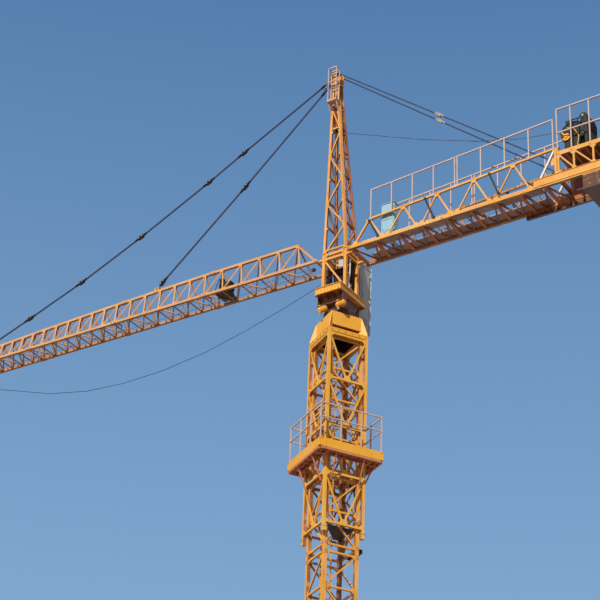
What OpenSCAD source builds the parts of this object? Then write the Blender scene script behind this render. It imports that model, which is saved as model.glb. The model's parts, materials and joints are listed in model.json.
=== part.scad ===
// Hammerhead tower crane with a climbing frame, in millimetres.
// The origin is at the centre of the base cross, on the ground. The jib points along +X at rest
// and the mast is turned about Z, as the slewing crane stands over it.

/* [Mast] */
// side of the mast between the centre lines of its legs
mast_w = 1250; // [1000:10:1800]
// side of a square mast leg
mast_leg = 140; // [100:5:180]
// height of a mast section
section_h = 2870; // [2000:10:3500]
// number of mast sections
section_count = 6; // [5:1:6]
// angle of the mast about Z, seen from the jib
mast_turn = -30; // [-45:1:45]
// height of the base below the mast
base_h = 800; // [600:50:1200]
// diameter of the circle that the anchor bolts stand on
anchor_pcd = 4200; // [3800:50:4600]
// diameter of an anchor hole
anchor_hole = 52; // [40:1:60]

/* [Climbing frame] */
// gap between the mast's legs and the posts of the climbing frame around them
frame_gap = 20; // [15:1:60]
// side of a square frame post
frame_post = 110; // [90:5:130]
// height of the frame from its feet to the support above
frame_h = 8100; // [7000:50:9000]
// number of braced panels up the frame
frame_panels = 4; // [3:1:5]
// side of the square work platform
platform_w = 2580; // [2300:10:3000]
// height of the platform boards' top edge over the frame's feet
platform_up = 3350; // [3000:10:3700]
// height of the toe boards
toe_h = 340; // [150:1:400]
// height of the rail over the toe boards
rail_h = 1450; // [1000:10:1500]

/* [Slewing part] */
// height of the mast support between the frame and the slewing ring
support_h = 1000; // [800:10:1200]
// radius of the slewing ring
ring_r = 620; // [500:10:700]
// half length of the slewing tower along the jib, between leg centres
tower_x = 490; // [400:5:600]
// half width of the slewing tower across the jib, between leg centres
tower_y = 410; // [350:5:500]
// height of the crane head over the jib's lower chords
head_h = 9300; // [7500:50:10000]

/* [Jib and counterjib] */
// height of the jib's lower chords over the slewing ring
jib_up = 2430; // [2200:10:3000]
// width of the jib between its lower chords
jib_w = 1000; // [800:10:1300]
// height of the jib between its chords, at its root
jib_h = 1350; // [1000:10:1500]
// height of the jib between its chords, at its tip
jib_tip_h = 660; // [600:10:1200]
// length of a jib section
jib_section = 4600; // [4000:50:5000]
// braced panels in the first jib section, each later one has one more
jib_panels = 5; // [4:1:6]
// length of the counterjib behind the slewing axis
counter_l = 13100; // [12600:50:13600]
// width of the counterjib between its chords
counter_w = 1340; // [1000:10:1500]
// height of the counterjib's side trusses
counter_h = 1150; // [800:10:1300]

/* [Hidden] */
// clearance left between pieces that are pinned, bolted or welded in place
seat = 0.2;
frame_w = mast_w + mast_leg + frame_post + 2 * frame_gap;
mast_top = base_h + section_h * section_count;
frame_top = mast_top;
frame_foot = frame_top - frame_h;
platform_z = frame_foot + platform_up;
support_top = mast_top + support_h;
ring_h = 120;
slew_z = support_top + ring_h;
upper_z = slew_z + ring_h;
jib_z = upper_z + jib_up;
head_z = jib_z + head_h;
tower_top = jib_z + 250;
head_x = 400;
turntable_w = 880;
turntable_h = 900;
motor_h = 150;
pin_z = head_z - 120;
front_pin_x = head_x + 120;
back_pin_x = head_x - 120;
sheave_x = head_x - 130;
sheave_z = jib_z + 6130;
sheave_r = 140;
cab_y = -turntable_w - seat;
cab_w = 800;
truss_start = -1700;
truss_end = 3490 - counter_l;
truss_nodes = [for (t = [0, 0.191, 0.3755, 0.575, 0.7825, 1]) truss_start + (truss_end - truss_start) * t];
truss_slope = 0.055;
drum_x = 2930 - counter_l;
tie_x = truss_end + 120;
tie_y = counter_w / 2 - 40 - 34 - seat - 32;
tie_z = jib_z + 990;
deck_z = jib_z + 1180;
drum_z = deck_z + 1000;
panel_h = (frame_h - 400) / frame_panels;
jib_start = 1600;
jib_pin_x = 760;
jib_end = jib_start + 4.6 * jib_section;
// the jib rises a little towards its tip
jib_rise = 0.857;
jib_pin_z = jib_z + 14;
chord_d = 106;
lace_d = 50;
apex_x = jib_start + jib_section / jib_panels / 2;
stay_lug_x = jib_start + 3.6875 * jib_section;
inner_lug_x = jib_start + 1.62 * jib_section;
winch_x = jib_start + 0.845 * jib_section;
trolley_x = jib_start + 4.1 * jib_section;
trolley_z = jib_z - chord_d / 2 - 160;
stay_pin_up = chord_d / 2 + 66;

// height of the top chord over the lower ones, which falls towards the tip
function jib_height(x) = jib_h - (jib_h - jib_tip_h) * pow(max(0, x - apex_x) / (jib_end - apex_x), 2);

// where a point of the level jib lies once the jib has its rise
function on_jib_at(x, z) = [
    jib_pin_x + (x - jib_pin_x) * cos(jib_rise) - (z - jib_z) * sin(jib_rise), 0,
    jib_pin_z + (x - jib_pin_x) * sin(jib_rise) + (z - jib_z) * cos(jib_rise)];

function lug_pin(x) = on_jib_at(x, jib_z + jib_height(x) + stay_pin_up);

// the hoist rope's route, from the winch over the head and the tower to the trolley
drum_out = [drum_x - 55.7, 0, drum_z + 390.3];
sheave_in = [sheave_x - 53, 0, sheave_z + 146];
rope_back = [for (p = [[0, 0], [0.06, 134], [0.223, 437], [0.389, 524], [0.642, 400]])
    drum_out + (sheave_in - drum_out) * p[0] - [0, 0, p[1]]];
rope_over = [for (a = [110 : -22 : -1])
    [sheave_x + (sheave_r + 15.3) * cos(a), 0, sheave_z + (sheave_r + 15.3) * sin(a)]];
rope_out = [[250, 0, 21450], [300, 0, 21300], [420, 0, 21150], [800, 0, 20950], [2500, 0, 20400],
    [4310, 0, 19900], [6300, 0, 19450], [8430, 0, 19190], [10400, 0, 19150], [12310, 0, 19300],
    [14350, 0, 19720], [17270, 0, 20700], on_jib_at(trolley_x - 400, trolley_z - 13.3)];
hook_x = on_jib_at(trolley_x, trolley_z)[0];
hook_top = jib_z - 1700;
hook_sheave_r = 230;

// Shapes that repeat

// a bar from point a to point b, of n sides and width w across its flats
module bar(a, b, w, n = 4) {
    v = b - a;
    len = norm(v);
    translate(a)
        rotate([0, acos(v[2] / len), atan2(v[1], v[0])])
            rotate([0, 0, 180 / n])
                cylinder(h = len, d = w / cos(180 / n), $fn = n);
}

// a box between two corners
module block(a, b) {
    translate(a)
        cube(b - a);
}

// bars one after the other along a list of points
module run(points, w, n = 4) {
    for (i = [0 : len(points) - 2])
        bar(points[i], points[i + 1], w, n);
}

// a round rope along points in the plane y = across, whose rings lie on the mitres
module rope(points, w, across = 0) {
    n = 8;
    last = len(points) - 1;
    along = [for (i = [0 : last]) points[min(i + 1, last)] - points[max(i - 1, 0)]];
    rings = [for (i = [0 : last], k = [0 : n - 1])
        let (a = 360 * (k + 0.5) / n, d = along[i] / norm(along[i]))
        points[i] + w / 2 * [-d[2] * cos(a), 0, d[0] * cos(a)] + [0, across + w / 2 * sin(a), 0]];
    polyhedron(rings, concat(
        [[for (k = [n - 1 : -1 : 0]) k]],
        [for (i = [0 : last - 1], k = [0 : n - 1])
            [i * n + k, i * n + (k + 1) % n, (i + 1) * n + (k + 1) % n, (i + 1) * n + k]],
        [[for (k = [0 : n - 1]) last * n + k]]));
}

// what stands on the ground is turned as the mast is
module fixed() {
    rotate([0, 0, mast_turn])
        children();
}

// a child is repeated at the four corners of a square
module at_corners() {
    for (a = [0 : 90 : 270])
        rotate([0, 0, a])
            children();
}

// the bars of one mast side, in the plane x = -mast_w / 2
module mast_lacing(reach) {
    x = -mast_w / 2;
    y = mast_w / 2;
    intersection() {
        union()
            for (s = [0 : section_count - 1]) {
                z0 = base_h + s * section_h + 140;
                z2 = base_h + (s + 1) * section_h - 140;
                z1 = (z0 + z2) / 2;
                for (z = [z0, z1, z2])
                    bar([x, -y, z], [x, y, z], 70);
                bar([x, -y, z0], [x, y, z1], 62);
                bar([x, y, z1], [x, -y, z2], 56);
            }
        block([x - 100, -reach, base_h], [x + 100, reach, mast_top]);
    }
}

module mast_legs() {
    for (y = [-1, 1])
        translate([-mast_w / 2 - mast_leg / 2, y * mast_w / 2 - mast_leg / 2, base_h + seat])
            cube([mast_leg, mast_leg, mast_top - base_h - 2 * seat]);
}

module mast_side(i) {
    color("#e79a35")
        fixed()
            rotate([0, 0, 90 * i])
                if (i % 2 == 0)
                    union() {
                        mast_legs();
                        mast_lacing(mast_w / 2);
                    }
                else
                    mast_lacing(mast_w / 2 - mast_leg / 2 - seat);
}

// Base

module beam(l) {
    translate([-l / 2, 0, 0])
        rotate([90, 0, 90])
            linear_extrude(l)
                polygon([[-150, 0], [150, 0], [150, 40], [20, 40], [20, base_h - 40],
                    [150, base_h - 40], [150, base_h], [-150, base_h], [-150, base_h - 40],
                    [-20, base_h - 40], [-20, 40], [-150, 40]]);
}

module base_cross() {
    color("#d98f30")
        fixed()
            rotate([0, 0, 45])
                difference() {
                    union() {
                        for (a = [0, 90])
                            rotate([0, 0, a])
                                beam(anchor_pcd - 240);
                        for (a = [0 : 90 : 270])
                            rotate([0, 0, a]) {
                                translate([anchor_pcd / 2 - 420, -250, 0])
                                    cube([600, 500, 40]);
                                translate([mast_w * sqrt(2) / 2 - 180, -180, base_h - 60])
                                    cube([360, 360, 60]);
                            }
                    }
                    for (a = [0 : 90 : 270])
                        rotate([0, 0, a])
                            translate([anchor_pcd / 2, 0, -1])
                                cylinder(h = 400, d = anchor_hole, $fn = 32);
                }
}

module base_struts() {
    far = anchor_pcd / 2 - 450;
    top = base_h + 0.77 * section_h;
    near = mast_w * sqrt(2) / 2 + mast_leg * sqrt(2) / 2;
    color("#d98f30")
        fixed()
            rotate([0, 0, 45])
                at_corners()
                    intersection() {
                        bar([far, 0, base_h - 60], [near - 60, 0, top], 110);
                        block([near + seat, -200, base_h + seat], [far + 300, 200, top + 200]);
                    }
}

// Mast fittings

module mast_ladder() {
    x = mast_w / 2 - mast_leg / 2 - 60;
    color("#8c8f90")
        fixed() {
            for (y = [-200, 200])
                bar([x, y, base_h + 40], [x, y, mast_top - 60], 40);
            for (z = [base_h + 300 : 300 : mast_top - 200])
                bar([x, -200, z], [x, 200, z], 24);
            for (s = [1 : section_count])
                bar([x, 200, base_h + s * section_h - 140], [mast_w / 2 - 35 - seat, 200, base_h + s * section_h - 140], 30);
        }
}

// a floor over half of the mast, with an ear beside each leg that it is welded to
module rest_platform(z) {
    in = mast_w / 2 - mast_leg / 2;
    translate([0, 0, z])
        linear_extrude(30)
            union() {
                polygon([[-in + 12, in - 40], [-in + 12, 12 - in], [in - 40, 12 - in], [in - 40, 285 - in],
                    [60 - in, in - 40]]);
                polygon([[-in - 60, in - 110], [60 - in, in - 110], [60 - in, in - seat], [-in - 60, in - seat]]);
                polygon([[-in - 55, 110 - in], [50 - in, 110 - in], [50 - in, seat - in], [-in - 55, seat - in]]);
                polygon([[in - 110, -in - 60], [in - seat, -in - 60], [in - seat, 70 - in], [in - 110, 70 - in]]);
            }
}

module rest_platforms() {
    color("#4d443c")
        fixed()
            for (s = [1, 3])
                rest_platform(base_h + s * section_h + 890);
}

// Climbing frame

module frame_lacing(reach) {
    x = -frame_w / 2;
    y = frame_w / 2;
    intersection() {
        union() {
            for (i = [0 : frame_panels]) {
                z = frame_foot + 400 + i * panel_h - (i == frame_panels ? 60 : 0);
                bar([x, -y, z], [x, y, z], 80);
            }
            for (i = [0 : frame_panels - 1], e = [-1, 1]) {
                z = frame_foot + 400 + i * panel_h;
                bar([x, 0, z], [x, e * y, z + panel_h - 60], 60);
            }
        }
        block([x - 100, -reach, frame_foot], [x + 100, reach, frame_top]);
    }
}

module frame_posts() {
    for (y = [-1, 1]) {
        translate([-frame_w / 2 - frame_post / 2, y * frame_w / 2 - frame_post / 2, frame_foot])
            cube([frame_post, frame_post, frame_h - seat]);
        translate([-frame_w / 2 - frame_post / 2 - 30, y * frame_w / 2 - (y + 1) / 2 * 30 - frame_post / 2, frame_foot])
            cube([frame_post + 30, frame_post + 30, 260]);
    }
}

module climbing_side(i) {
    color("#eba53c")
        fixed()
            rotate([0, 0, 90 * i])
                if (i % 2 == 0)
                    union() {
                        frame_posts();
                        frame_lacing(frame_w / 2);
                    }
                else
                    frame_lacing(frame_w / 2 - frame_post / 2 - seat);
}

// Lower support and slewing ring

module mast_support() {
    w = frame_w / 2 + frame_post / 2;
    box = ring_r + 15;
    neck = box - 70;
    z1 = mast_top + 180;
    z2 = mast_top + 430;
    color("#eba53c")
        fixed()
            union() {
                difference() {
                    union() {
                        block([-w, -w, mast_top], [w, w, z1]);
                        block([-neck, -neck, z1 - 20], [neck, neck, z2 + 20]);
                        block([-box, -box, z2], [box, box, support_top]);
                    }
                    block([40 - neck, 40 - neck, mast_top - 1], [neck - 40, neck - 40, support_top - 40]);
                    translate([0, 0, mast_top - 1])
                        cylinder(h = support_h + 2, r = ring_r - 130, $fn = 64);
                }
                // a gusset stands on each corner, in line with the diagonal
                rotate([0, 0, 45])
                    at_corners()
                        translate([0, 16, 0])
                            rotate([90, 0, 0])
                                linear_extrude(32)
                                    polygon([[neck * sqrt(2) - 30, z1 - 15], [w * sqrt(2) - 30, z1 - 15],
                                        [w * sqrt(2) - 30, z1 + 90], [box * sqrt(2) + 12, support_top - 30],
                                        [neck * sqrt(2) - 30, support_top - 30]]);
            }
}

module ring(z, r_out, r_in) {
    translate([0, 0, z])
        difference() {
            cylinder(h = ring_h - seat, r = r_out, $fn = 96);
            translate([0, 0, -1])
                cylinder(h = ring_h + 2, r = r_in, $fn = 96);
        }
}

module slewing_ring_lower() {
    color("#5b4a3c")
        fixed()
            ring(support_top + seat, ring_r, ring_r - 120);
}

module slewing_ring_upper() {
    color("#6b5546")
        ring(slew_z + 6, ring_r - 20, ring_r - 140);
}

module turntable() {
    z = upper_z + 6;
    color("#eba53c")
        difference() {
            union() {
                hull() {
                    translate([0, 0, z])
                        cylinder(h = 20, r = ring_r - 100, $fn = 32);
                    block([-470, -600, z + 590], [420, 600, z + 601]);
                }
                block([-590, -turntable_w, z + 600], [540, turntable_w, z + turntable_h]);
                block([-600, 380, z + motor_h], [520, 780, z + motor_h + 25]);
                for (x = [-600, 500])
                    block([x, 420, z + motor_h + 10], [x + 20, 740, z + 605]);
            }
            translate([0, 0, z - 1])
                cylinder(h = turntable_h + 2, r = 330, $fn = 48);
        }
}

module slewing_motors() {
    color("#f0c060")
        for (x = [-480, 400])
            translate([x, 660, upper_z - 40]) {
                cylinder(h = motor_h + 46 - seat, r = 95, $fn = 32);
                cylinder(h = 60, r = 110, $fn = 32);
            }
}

// Slewing tower and head

module slewing_tower() {
    foot = upper_z + 6 + turntable_h + seat;
    color("#e79a35")
        union() {
            for (x = [-1, 1], y = [-1, 1])
                translate([x * tower_x - 60, y * tower_y - 60, foot])
                    cube([120, 120, tower_top - foot]);
            for (z = [jib_z, tower_top - 60], y = [-1, 1])
                bar([-tower_x, y * tower_y, z], [tower_x, y * tower_y, z], 100);
            for (z = [jib_z, tower_top - 60], x = [-1, 1])
                bar([x * tower_x, -tower_y, z], [x * tower_x, tower_y, z], 100);
            for (y = [-1, 1]) {
                bar([-tower_x, y * tower_y, foot + 60], [tower_x, y * tower_y, jib_z], 70);
            }
            // pin lugs of the jib and the counterjib
            for (x = [-1, 1], y = [-1, 1])
                bar([x * tower_x, y * tower_y, x > 0 ? jib_pin_z : jib_z],
                    [x > 0 ? jib_pin_x - 1 : -jib_pin_x - 75 + seat, y * tower_y, x > 0 ? jib_pin_z : jib_z], 88);
        }
}

function head_leg(x, y, t) =
    let (foot = [x * tower_x, y * tower_y], top = [head_x + x * 110, y * 110])
    [foot[0] + (top[0] - foot[0]) * t, foot[1] + (top[1] - foot[1]) * t,
        tower_top + (head_z - 700 - tower_top) * t];

head_steps = 7;

module head_legs(y) {
    for (x = [-1, 1])
        bar(head_leg(x, y, 0), head_leg(x, y, 1), 100);
}

// the zigzag between two head legs with level bars at some steps, a and b are their corner signs
module head_lacing(a, b, w, level) {
    for (i = [0 : head_steps - 1]) {
        p = i % 2 == 0 ? a : b;
        q = i % 2 == 0 ? b : a;
        bar(head_leg(p[0], p[1], i / head_steps), head_leg(q[0], q[1], (i + 1) / head_steps), w);
    }
    for (i = level)
        bar(head_leg(a[0], a[1], i / head_steps + 0.02), head_leg(b[0], b[1], i / head_steps + 0.02), w + 4);
}

module head_side(y) {
    color("#e79a35")
        intersection() {
            union() {
                head_legs(y);
                head_lacing([1, y], [-1, y], 60, [0, 5]);
            }
            block([-2000, -2000, tower_top + seat], [2000, 2000, head_z]);
        }
}

module head_end(x) {
    color("#e79a35")
        difference() {
            intersection() {
                head_lacing([x, 1], [x, -1], 60, [0 : head_steps - 1]);
                block([-2000, -2000, tower_top + seat], [2000, 2000, head_z - 700]);
            }
            for (y = [-1, 1])
                bar(head_leg(x, y, -0.1), head_leg(x, y, 1.1), 101);
        }
}

module head_cap() {
    z = head_z - 700;
    color("#eeb045")
            union() {
                block([head_x - 180, -175, z + seat + 20], [head_x + 180, -125, head_z]);
                block([head_x - 180, 125, z + seat + 20], [head_x + 180, 175, head_z]);
                block([head_x - 180, -175, z + seat + 20], [head_x + 180, 175, z + 80]);
                translate([front_pin_x, 170, pin_z])
                    rotate([90, 0, 0])
                        cylinder(h = 340, r = 30, $fn = 32);
                translate([back_pin_x, 250, pin_z])
                    rotate([90, 0, 0])
                        cylinder(h = 500, r = 30, $fn = 32);
            }
}

// the sheave hangs from two bars of the head's sides, on plates with ears
module head_sheave() {
    t = 5 / head_steps + 0.02;
    bar_z = tower_top + (head_z - 700 - tower_top) * t;
    bar_y = tower_y + (110 - tower_y) * t;
    color("#3b3a3a")
        union() {
            translate([sheave_x, 0, sheave_z])
                rotate([90, 0, 0])
                    difference() {
                        translate([0, 0, -30])
                            cylinder(h = 60, r = sheave_r + 25, $fn = 48);
                        rotate_extrude($fn = 48)
                            polygon([[sheave_r - 5, -17], [sheave_r + 35, -26], [sheave_r + 35, 26], [sheave_r - 5, 17]]);
                    }
            translate([sheave_x, 90, sheave_z])
                rotate([90, 0, 0])
                    cylinder(h = 180, r = 25, $fn = 24);
            for (y = [-1, 1]) {
                block([sheave_x - 35, y * 75 - 12, sheave_z - 50], [sheave_x + 130, y * 75 + 12, bar_z + 55]);
                block([sheave_x + 20, y * (bar_y + 60) / 2 - (bar_y - 60) / 2 - 14, bar_z + 32 + seat],
                    [sheave_x + 120, y * (bar_y + 60) / 2 + (bar_y - 60) / 2 + 14, bar_z + 50]);
            }
        }
}

module head_platform() {
    x0 = head_x - 270;
    x1 = head_x + 160;
    y0 = 250;
    y1 = 530;
    z = head_z - 1700;
    color("#e2b08a")
        difference() {
            union() {
                block([x0, y0, z], [x1, y1, z + 50]);
                for (x = [x0 + 24, x1 - 24]) {
                    for (y = [y0 + 24, y1 - 24])
                        bar([x, y, z + 20], [x, y, z + 1690], 32);
                    for (h = [1000, 1690])
                        bar([x, y0 + 24, z + h], [x, y1 - 24, z + h], 36);
                    bar([x, y0 + 60, z + 20], [x, 100, z - 30], 50);
                    bar([x, y1 - 40, z + 20], [x, 100, z - 700], 44);
                }
                for (h = [1000, 1690], y = [y0 + 24, y1 - 24])
                    bar([x0 + 24, y, z + h], [x1 - 24, y, z + h], 40);
            }
            for (x = [-1, 1])
                bar(head_leg(x, 1, 0), head_leg(x, 1, 1.1), 100.8);
            head_lacing([1, 1], [-1, 1], 60.8, [0, 5]);
            block([-2000, -1000, z - 900], [2000, 178, z + 1800]);
        }
}

// Cab

module cab_body() {
    color("#c9cccb")
        difference() {
            block([-340, cab_y - cab_w, 19150], [680, cab_y, 22250]);
            block([-300, cab_y - cab_w + 40, 19190], [640, cab_y - 40, 22210]);
            block([-220, cab_y - 60, 20000], [560, cab_y + 10, 21780]);
            block([620, cab_y - cab_w + 100, 20000], [690, cab_y - 100, 21900]);
            block([-220, cab_y - cab_w - 10, 20000], [560, cab_y - cab_w + 60, 21900]);
        }
}

module cab_glass() {
    color("#22303a")
        union() {
            block([-220 + seat, cab_y - 30, 20000 + seat], [560 - seat, cab_y - 20, 21780 - seat]);
            block([650, cab_y - cab_w + 100 + seat, 20000 + seat], [660, cab_y - 100 - seat, 21900 - seat]);
            block([-220 + seat, cab_y - cab_w + 20, 20000 + seat], [560 - seat, cab_y - cab_w + 30, 21900 - seat]);
        }
}

module cab_bracket() {
    color("#8a3a20")
        for (x = [-250, 250])
            block([x - 50, cab_y + seat, tower_top - 100], [x + 50, -tower_y - 50 - seat, tower_top - 20]);
}

// Jib

module on_jib() {
    translate([jib_pin_x, 0, jib_pin_z])
        rotate([0, -jib_rise, 0])
            translate([-jib_pin_x, 0, -jib_z])
                children();
}

function top_node(x) = [x, 0, jib_z + jib_height(x)];

// the braced panels of a jib section, from x = first
module jib_bays(first, count, panel) {
    w = jib_w / 2;
    for (i = [0 : count - 1]) {
        x = first + i * panel;
        mid = top_node(x + panel / 2);
        for (y = [-w, w]) {
            bar([x, y, jib_z], mid, lace_d);
            bar(mid, [x + panel, y, jib_z], lace_d);
        }
        bar([x + 40, -w, jib_z], [x + 40, w, jib_z], lace_d - 4);
        side = i % 2 == 0 ? w : -w;
        bar([x + 40, -side, jib_z], [x + panel - 40, side, jib_z], 42);
    }
}

// a jib section, whose top chord is straight from one of its ends to the other
module jib_section_body(i) {
    w = jib_w / 2;
    x0 = i == 1 ? jib_start : jib_start + (i - 1) * jib_section;
    x1 = i == 5 ? jib_end : x0 + jib_section;
    count = i == 5 ? jib_panels : jib_panels + i - 1;
    panel = (x1 - x0) / count;
    low_x0 = i == 1 ? jib_pin_x : x0 - 10;
    nodes = [for (k = [0 : count - 1]) x0 + (k + 0.5) * panel];
    top_x = concat([i == 1 ? apex_x - 40 : x0 - 10], nodes, [i == 5 ? nodes[count - 1] + 40 : x1 + 10]);
    intersection() {
        union() {
            for (y = [-w, w])
                bar([low_x0, y, jib_z], [x1 + 10, y, jib_z], chord_d);
            translate([0, chord_d / 2, 0])
                rotate([90, 0, 0])
                    linear_extrude(chord_d)
                        polygon(concat([for (x = top_x) [x, top_node(x)[2] + chord_d / 2]],
                            [for (k = [len(top_x) - 1 : -1 : 0]) [top_x[k], top_node(top_x[k])[2] - chord_d / 2]]));
            jib_bays(x0, count, panel);
            if (i == 1) {
                for (y = [-w, w])
                    bar([jib_pin_x + 60, y, jib_z], top_node(apex_x), 70);
                bar([jib_pin_x + 60, -w, jib_z], [jib_pin_x + 60, w, jib_z], 70);
            }
        }
        block([i == 1 ? jib_pin_x : x0 + seat, -1000, jib_z - 200], [x1 + (i == 5 ? 200 : -seat), 1000, jib_z + jib_h + 300]);
    }
    if (i == 2)
        stay_lug(inner_lug_x);
    if (i == 4)
        stay_lug(stay_lug_x);
}

module jib_section_n(i) {
    color("#d9803a")
        on_jib()
            union()
                jib_section_body(i);
}

// a stay is a run of rods between link plates
module stay(points) {
    run(points, 70, 6);
    for (i = [1 : len(points) - 2])
        translate(points[i])
            rotate([0, atan2(points[i][2] - points[i + 1][2], points[i + 1][0] - points[i][0]), 0])
                translate([-90, -48, -52])
                    cube([180, 96, 104]);
}

// an eye around a pin along Y, at a point
module eye(p, r_out, r_pin, w) {
    translate([p[0], p[1] + w / 2, p[2]])
        rotate([90, 0, 0])
            difference() {
                cylinder(h = w, r = r_out, $fn = 32);
                translate([0, 0, -1])
                    cylinder(h = w + 2, r = r_pin + 0.3, $fn = 32);
            }
}

// the two ears and the pin that hold a stay on the top chord
module stay_lug(x) {
    z = jib_z + jib_height(x);
    for (y = [-63, 43])
        block([x - 120, y, z - 12], [x + 120, y + 20, z + stay_pin_up + 55]);
    translate([x, 70, z + stay_pin_up])
        rotate([90, 0, 0])
            cylinder(h = 140, r = 22, $fn = 24);
}

// each stay's points are shares of the way from its top to its lug, with what it hangs below that line
outer_top = [front_pin_x + 410, 0, pin_z - 170];
outer_end = lug_pin(stay_lug_x) + [-60, 0, 15];
outer_stay = [
    for (p = [[0, 0], [0.2324, 234], [0.3315, 363], [0.5275, 486], [0.7035, 444], [0.8602, 230], [1, 0]]) outer_top + (outer_end - outer_top) * p[0] - [0, 0, p[1]]];
inner_top = [front_pin_x + 440, 0, pin_z - 505];
inner_end = lug_pin(inner_lug_x) + [-45, 0, 40];
inner_stay = [for (p = [[0, 0], [0.481, 56], [0.9757, -39], [1, 0]]) inner_top + (inner_end - inner_top) * p[0] - [0, 0, p[1]]];

module jib_stay_outer() {
    color("#3a4a63")
        difference() {
            union() {
                stay(outer_stay);
                translate([0, 30, 0])
                    rotate([90, 0, 0])
                        linear_extrude(60)
                            polygon([[front_pin_x - 70, pin_z - 70], [front_pin_x - 70, pin_z + 60],
                                [front_pin_x + 60, pin_z + 70], [front_pin_x + 480, pin_z - 110], [front_pin_x + 460, pin_z - 430],
                                [front_pin_x + 360, pin_z - 450]]);
                eye(lug_pin(stay_lug_x), 62, 22, 80);
            }
            translate([front_pin_x, 100, pin_z])
                rotate([90, 0, 0])
                    cylinder(h = 200, r = 30.3, $fn = 32);
            translate(lug_pin(stay_lug_x) + [0, 100, 0])
                rotate([90, 0, 0])
                    cylinder(h = 200, r = 22.3, $fn = 32);
        }
}

module jib_stay_inner() {
    color("#3a4a63")
        difference() {
            union() {
                stay(inner_stay);
                for (y = [-50, 30.3])
                    block([front_pin_x + 380, y, pin_z - 490], [front_pin_x + 500, y + 19.7, pin_z - 370]);
                block([front_pin_x + 410, -50, pin_z - 530], [front_pin_x + 520, 50, pin_z - 470]);
                eye(lug_pin(inner_lug_x), 62, 22, 80);
            }
            translate(lug_pin(inner_lug_x) + [0, 100, 0])
                rotate([90, 0, 0])
                    cylinder(h = 200, r = 22.3, $fn = 32);
            block([front_pin_x + 360, -30.3, pin_z - 465], [front_pin_x + 580, 30.3, pin_z - 70]);
        }
}

module trolley_winch() {
    z = jib_z + lace_d / 2 - 2 + seat;
    color("#3a2c2a")
        on_jib()
            union() {
                block([winch_x - 300, -360, z], [winch_x + 290, 360, z + 60]);
                translate([winch_x - 60, 170, z + 340])
                    rotate([90, 0, 0])
                        cylinder(h = 340, r = 215, $fn = 32);
                for (y = [-185, 185])
                    block([winch_x - 180, y - 15, z + 30], [winch_x + 80, y + 15, z + 430]);
                translate([winch_x + 190, 40, z + 50])
                    cylinder(h = 560, r = 90, $fn = 32);
                block([winch_x - 280, -150, z + 50], [winch_x - 220, 150, z + 620]);
                block([winch_x + 110, -45, z + 600], [winch_x + 270, 75, z + 840]);
            }
}

module trolley() {
    z = trolley_z;
    out = chord_d / 2 + 25;
    wheel_y = jib_w / 2 + chord_d / 2 + 17;
    color("#c77a35")
        on_jib()
            union() {
                for (y = [-1, 1]) {
                    block([trolley_x - 500, y * jib_w / 2 - out, z], [trolley_x + 500, y * jib_w / 2 + out, z + 100]);
                    for (x = [-380, 380]) {
                        translate([trolley_x + x, y * wheel_y, jib_z - 75])
                            rotate([90, 0, 0])
                                cylinder(h = 26, r = 85, center = true, $fn = 32);
                        bar([trolley_x + x, y * wheel_y, z + 60], [trolley_x + x, y * wheel_y, jib_z - 75], 24);
                    }
                }
                for (x = [-450, 350])
                    block([trolley_x + x, -jib_w / 2, z], [trolley_x + x + 100, jib_w / 2, z + 96]);
                for (x = [-244, 244])
                    block([trolley_x + x - 30, -jib_w / 2, z], [trolley_x + x + 30, jib_w / 2, z + 90]);
            }
}

module hook_block() {
    z = hook_top;
    color("#e0a030")
        union() {
            for (y = [-75, 45])
                block([hook_x - 150, y, z - 620], [hook_x + 150, y + 30, z - 100]);
            block([hook_x - 150, -75, z - 620], [hook_x + 150, 75, z - 540]);
            translate([hook_x, 46, z - 300])
                rotate([90, 0, 0])
                    cylinder(h = 92, r = hook_sheave_r, $fn = 48);
            translate([hook_x, 0, z - 760])
                cylinder(h = 160, r = 60, $fn = 32);
            translate([hook_x, 0, z - 860])
                cylinder(h = 120, r = 42, $fn = 24);
            translate([hook_x, 0, z - 960])
                rotate([90, 0, 0])
                    rotate([0, 0, -160])
                        rotate_extrude(angle = 250, $fn = 40)
                            translate([110, 0])
                                circle(r = 42, $fn = 24);
        }
}

module hoist_rope() {
    fall_x = hook_sheave_r + 12.3;
    color("#4a5a6a")
        union() {
            rope(concat(rope_back, rope_over, rope_out), 30);
            for (x = [-1, 1])
                bar([hook_x + x * fall_x, 0, hook_top - 300],
                    [hook_x + x * fall_x, 0, on_jib_at(trolley_x + x * fall_x, trolley_z)[2] - 1], 24, 6);
        }
}

// Counterjib

module counterjib_frame() {
    w = counter_w / 2;
    x0 = -jib_pin_x;
    step = (counter_l - 3830) / 9;
    color("#c9702c")
        union() {
            for (y = [-w, w]) {
                bar([x0, y, jib_z], [-counter_l, y, jib_z], 130);
                block([-counter_l, y - 65, jib_z], [truss_end + 900, y + 65, jib_z + 330]);
            }
            for (i = [0 : 8]) {
                x = x0 - 120 - i * step;
                bar([x, -w, jib_z], [x, w, jib_z], 90);
                bar([x, w, jib_z], [x - step / 2, -w, jib_z], 60);
                bar([x - step / 2, -w, jib_z], [x - step, w, jib_z], 60);
            }
            for (x = [60, 1950])
                block([x - counter_l - 60, -w, jib_z - 60], [x - counter_l + 60, w, jib_z + 60]);
            block([truss_end - 60, -w, jib_z + 200], [truss_end + 60, w, jib_z + 330]);
            // the ballast rack under the winch and the cable tray along the far chord
            block([1770 - counter_l, -w - 55, jib_z - 720], [2450 - counter_l, w + 55, jib_z - 20]);
            block([1860 - counter_l, -w - 72, jib_z - 250], [5400 - counter_l, 30 - w, jib_z - 44]);
        }
}

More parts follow.
